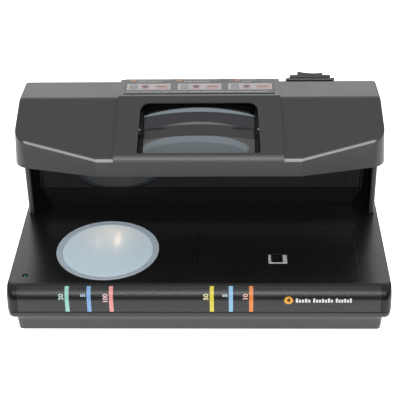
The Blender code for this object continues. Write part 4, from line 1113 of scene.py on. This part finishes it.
for hand, side in (("left", -1), ("right", 1)):
    place = slope_matrix(WINDOW_MIDDLE, 0, side * (LENS_HALF + GAP))
    bracket = brick(f"lens_bracket_{hand}_moulding", mm(6.4, 43, 3.4), mm(side * 3.4, 0, -5.2), place)
    clip = brick(f"clip_{hand}", mm(4.6, 9, 3), mm(side * 2.5, 0, -2.6), place)
    machined(bracket, [("UNION", clip)], edge=0.35 * MM, segments=2, degrees=50)
    fit(bracket, black_moulding, "black_plastic", f"lens_bracket_{hand}")
    pin = turned(f"clip_rivet_{hand}", [(0, 0), (0.6, 0), (0.6, 0.1), (0.35, 0.25), (0, 0.28)], 24)
    pin.data.transform(place @ Matrix.Translation((side * 2.5 * MM, 0, -1.12 * MM)))
    fit(pin, zinc, "bright_metal")


# Window panel: a raised charcoal moulding clipped over the head's top and slope, with a lip over the fascia.
# Its window opening has rounded upper corners and a softly broken edge.

panel_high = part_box("window_panel")[1]
PANEL_RISE = panel_high.z - TOP_Z
LIP_BACK = 1.2 * MM
lip_y, lip_foot = FASCIA_Y + LIP_BACK, FASCIA_TOP_Z - 1.5 * MM
top_run = [(panel_high.y, TOP_Z), (CREASE_Y, TOP_Z)]
face = top_run + [(lip_y, FASCIA_TOP_Z + LIP_BACK * math.tan(SLOPE_ANGLE)), (lip_y, lip_foot)]
back = top_run + [(FASCIA_Y, FASCIA_TOP_Z), (FASCIA_Y, lip_foot)]
outer, inner = offset_path(face, -PANEL_RISE), offset_path(back, -GAP)
outline = filleted(outer + inner[::-1], [0.8 * MM, 2 * MM, 6 * MM, 0, 0, 3 * MM, 0, 0], 14)


def panel_half(y):
    """Half the panel's width: it widens a little down the slope."""
    return 58.6 * MM + 2 * MM * max(0.0, (CREASE_Y - y) / (CREASE_Y - FASCIA_Y))


panel = flat_solid("window_panel_moulding", outline, 2, Matrix.Identity(4))
for vertex in panel.data.vertices:
    vertex.co.z *= panel_half(vertex.co.x)
panel.data.transform(SIDE_VIEW)
WINDOW_HALF = 43 * MM
half_low, half_high, reach = WINDOW_HALF + 1 * MM, WINDOW_HALF - 1 * MM, WINDOW_LENGTH / 2
opening = filleted([(-half_low, -reach), (half_low, -reach), (half_high, reach), (-half_high, reach)],
                   mm(1.2, 1.2, 7, 7), 8)
machined(panel, [("DIFFERENCE", flat_solid("panel_window", opening, 12 * MM, slope_matrix(WINDOW_MIDDLE)))],
         edge=0.35 * MM, segments=3, degrees=45)
# A painted highlight: the panel's lip is lightened in colour, broken into grainy spots, where it faces forwards
# and up at 34 degrees.
lip_highlight_painted = lightened(charcoal_moulding("charcoal_panel"), 34, 0.93, 0.95, (0.125, 0.125, 0.13), 0.65)
fit(panel, lip_highlight_painted, "charcoal_case", "window_panel")


# Top film: a printed strip on the panel's flat top, with three numbered steps and a sample note under each.

film_low, film_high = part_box("top_label")
film_foot = panel_high.z + 0.01 * MM
top_film = brick("top_film", (film_high.x - film_low.x, film_high.y - film_low.y, film_high.z - film_foot),
                 (0, (film_low.y + film_high.y) / 2, (film_foot + film_high.z) / 2))
machined(top_film, edge=0.08 * MM, segments=2)
grey_film = worn_surface("grey_film", (0.03, 0.03, 0.032), (0.04, 0.04, 0.042), (0.3, 0.42), (0.32, 0.012))
fit(top_film, grey_film, "gloss_label", "top_label")


def top_bend(layer):
    """A function that lays ink flat on the top film, over a number of earlier layers."""
    def bend(x, y, lift):
        return (x, y, film_high.z + lift + layer * 1.3 * INK_THICK)
    return bend


note_ink = ink("ink_note_grey", (0.38, 0.37, 0.37), 0.45)
note_pink = ink("ink_note_pink", (0.4, 0.26, 0.26), 0.45)
note_dark = ink("ink_note_dark", (0.06, 0.055, 0.06), 0.45)
grey_ink = ink("ink_grey", (0.46, 0.46, 0.46), 0.45)
dull_amber = ink("ink_dull_amber", (0.42, 0.2, 0.1), 0.45)
# Each step is its spot's place, its note's place, and the lengths of its words.
steps_at = [(-49.2 * MM, -37.3 * MM, (9.2, 9.6, 3.0)), (-15.3 * MM, 0.0, (8.2, 11.2, 4.2)),
            (27.6 * MM, 37.0 * MM, (10.5,))]
NOTE_Y = 43.2 * MM


def on_note(note_x, left, right, low, high):
    """A rectangle on a sample note, with its edges in millimetres from the note's middle."""
    return oblong(note_x + left * MM, note_x + right * MM, NOTE_Y + low * MM, NOTE_Y + high * MM)


for number, (spot_x, note_x, words) in enumerate(steps_at, 1):
    spot = patch([arc(spot_x, 54 * MM, 2.1 * MM, 0, 351, 39)])
    fit(sheet_of(spot, f"top_spot_{number}", top_bend(0)), dull_amber, "gloss_label")
    digit = numeral(str(number), 3.2 * MM, Matrix.Translation((spot_x, 54 * MM, 0)))
    fit(sheet_of(digit, f"top_number_{number}", top_bend(1)), dark_ink, "gloss_label")
    for row, y in enumerate((54.6 * MM, 51.6 * MM)):
        scale = 1.0 if row == 0 else 0.72
        lengths = [length * MM * scale for length in words]
        bars = greeked(lengths, spot_x + 3.6 * MM, y, 1.1 * MM, 0.9 * MM)
        fit(sheet_of(bars, f"top_words_{number}_{row + 1}", top_bend(0)), grey_ink, "gloss_label")
    note = patch([on_note(note_x, -16, 16, -5, 5)])
    fit(sheet_of(note, f"sample_note_{number}", top_bend(0)), note_ink, "gloss_label")
    fields = patch([on_note(note_x, -6, 1, -4, 4), on_note(note_x, 4, 15, -4, 3)])
    fit(sheet_of(fields, f"note_fields_{number}", top_bend(1)), note_pink, "gloss_label")
    marks = [on_note(note_x, -14, -8, y - 0.35, y + 0.35) for y in (-3, -1, 1, 3)]
    marks.append(arc(note_x - 2.5 * MM, NOTE_Y, 2.2 * MM, 0, 351, 39))
    marks.append(on_note(note_x, 6, 13, -0.5, 0.5))
    fit(sheet_of(patch(marks), f"note_marks_{number}", top_bend(2)), note_dark, "gloss_label")
caption = greeked(mm(9, 14, 5, 11, 8, 16, 6, 12, 9), -53 * MM, 35 * MM, 0.9 * MM, 1.6 * MM)
fit(sheet_of(caption, "top_caption", top_bend(0)), grey_ink, "gloss_label")


# Switch: a moulded boss on the rear slope, the black snap-in housing in it, and the rocker on its pin.
# The rocker's top is dished for the finger, and its left end stands up.

on_slope = rear_matrix(SWITCH_ALONG, 0, switch_middle.x)
boss = brick("switch_boss_moulding", mm(36, 19, 2.1), mm(0, 0, 1.35), on_slope)
machined(boss, [("DIFFERENCE", brick("boss_hole", mm(26.6, 12.6, 12), (0, 0, 0), on_slope))],
         edge=0.6 * MM, segments=3)
fit(boss, charcoal, "charcoal_case", "switch_boss")
housing = brick("switch_housing_moulding", mm(30, 15.4, 2.2), mm(0, 0, 3.8), on_slope)
machined(housing, [("UNION", brick("switch_body", mm(26, 12, 18), mm(0, 0, -5.6), on_slope)),
                   ("DIFFERENCE", brick("rocker_hole", mm(20.8, 10.6, 14), mm(0, 0, -0.6), on_slope))],
         edge=0.45 * MM, segments=3, degrees=50)
switch_black = worn_surface("switch_nylon", (0.016, 0.016, 0.017), (0.026, 0.026, 0.027), (0.32, 0.45),
                            (0.4, 0.012), 4)
fit(housing, switch_black, "black_plastic", "switch_housing")

TOP_END, TOP_MIDDLE, ROCKER_LOW = 4.75 * MM, 3.9 * MM, -2.8 * MM
dip = [(9.5 * MM * t, TOP_MIDDLE + (TOP_END - TOP_MIDDLE) * t * t) for t in [1 - i / 12 for i in range(25)]]
upright_fore = Matrix(((1, 0, 0, 0), (0, 0, -1, 0), (0, 1, 0, 0), (0, 0, 0, 1)))
ROCKER_TILT = math.radians(3)
rocker_place = rear_matrix(SWITCH_ALONG, 2.6 * MM, switch_middle.x) @ Matrix.Rotation(ROCKER_TILT, 4, "Y")
rocker = flat_solid("rocker_key", dip + [(-8.6 * MM, ROCKER_LOW), (8.6 * MM, ROCKER_LOW)], 10 * MM,
                    rocker_place @ upright_fore)
machined(rocker, edge=0.35 * MM, segments=3, degrees=40)
fit(rocker, switch_black, "black_plastic", "power_rocker", body="rocker")


# Studio: a pale light table lit from beneath, a wide soft light behind, and a small one by the camera.
# A low black flag lies in front of the base, out of sight, so that the nose's curve reads dark over its face.

opal, tree, shader, coords = new_finish("light_table", 0.6)
tree.links.new(tint(tree, grain(tree, coords, 200 * MM, 2), (0.8, 0.8, 0.8), (0.82, 0.82, 0.82)),
               shader.inputs["Base Color"])
shader.inputs["Emission Color"].default_value = (1, 1, 1, 1)
shader.inputs["Emission Strength"].default_value = 1.1
shape = bmesh.new()
bmesh.ops.create_grid(shape, x_segments=2, y_segments=2, size=2.4)
table = show("light_table", mesh_from(shape, "light_table"))
table.data.materials.append(opal)

FLAG_HEIGHT = 40 * MM
flag_black, tree, shader, coords = new_finish("flag_black", 0.9)
tree.links.new(tint(tree, grain(tree, coords, 5 * MM, 2), (0.004, 0.004, 0.004), (0.008, 0.008, 0.008)),
               shader.inputs["Base Color"])
flag = brick("black_flag", (0.9, 2 * MM, FLAG_HEIGHT), (0, FRONT - 70 * MM, FLAG_HEIGHT / 2 + 1 * MM))
flag.data.materials.append(flag_black)
flag.visible_camera = False


def softbox(name, size, radiance, place, target):
    """A soft light with a square face, of the given brightness, aimed at a point."""
    lamp = bpy.data.lights.new(name, "AREA")
    lamp.shape = "RECTANGLE"
    lamp.size, lamp.size_y = size
    lamp.energy = radiance * math.pi * size[0] * size[1]
    obj = bpy.data.objects.new(name, lamp)
    obj.location = place
    obj.rotation_euler = (Vector(target) - Vector(place)).to_track_quat("-Z", "Y").to_euler()
    bpy.context.scene.collection.objects.link(obj)


softbox("rear_light", (2.6, 1.0), 1.9, (0, 1.5, 1.1), (0, 0.05, 0.1))
softbox("camera_light", (0.9, 0.45), 4.5, (0, -1.05, 0.78), (0, 0, 0.08))
world = bpy.data.worlds.new("studio_air")
world.use_nodes = True
tree = world.node_tree
split = tree.nodes.new("ShaderNodeSeparateXYZ")
tree.links.new(tree.nodes.new("ShaderNodeTexCoord").outputs["Generated"], split.inputs["Vector"])
background = tree.nodes["Background"]
background.inputs["Color"].default_value = (1, 1, 1, 1)
tree.links.new(spread(tree, split.outputs["Z"], 0.12, 0.75, 0, 0.7), background.inputs["Strength"])
bpy.context.scene.world = world
bpy.context.scene.view_settings.view_transform = "Standard"


# Camera: a long lens, looking down on the deck from just right of the middle.

SENSOR = 36
camera_data = bpy.data.cameras.new("camera")
camera_data.sensor_width = SENSOR
camera_data.lens = 102.7
camera = bpy.data.objects.new("camera", camera_data)
looking = (Matrix.Rotation(math.radians(1.84), 4, "Z") @ Matrix.Rotation(math.radians(90 - 32.22), 4, "X")
           @ Matrix.Rotation(math.radians(-1.09), 4, "Z"))
camera.matrix_world = Matrix.Translation((0.02291, -0.70915, 0.5148)) @ looking
bpy.context.scene.collection.objects.link(camera)
bpy.context.scene.camera = camera
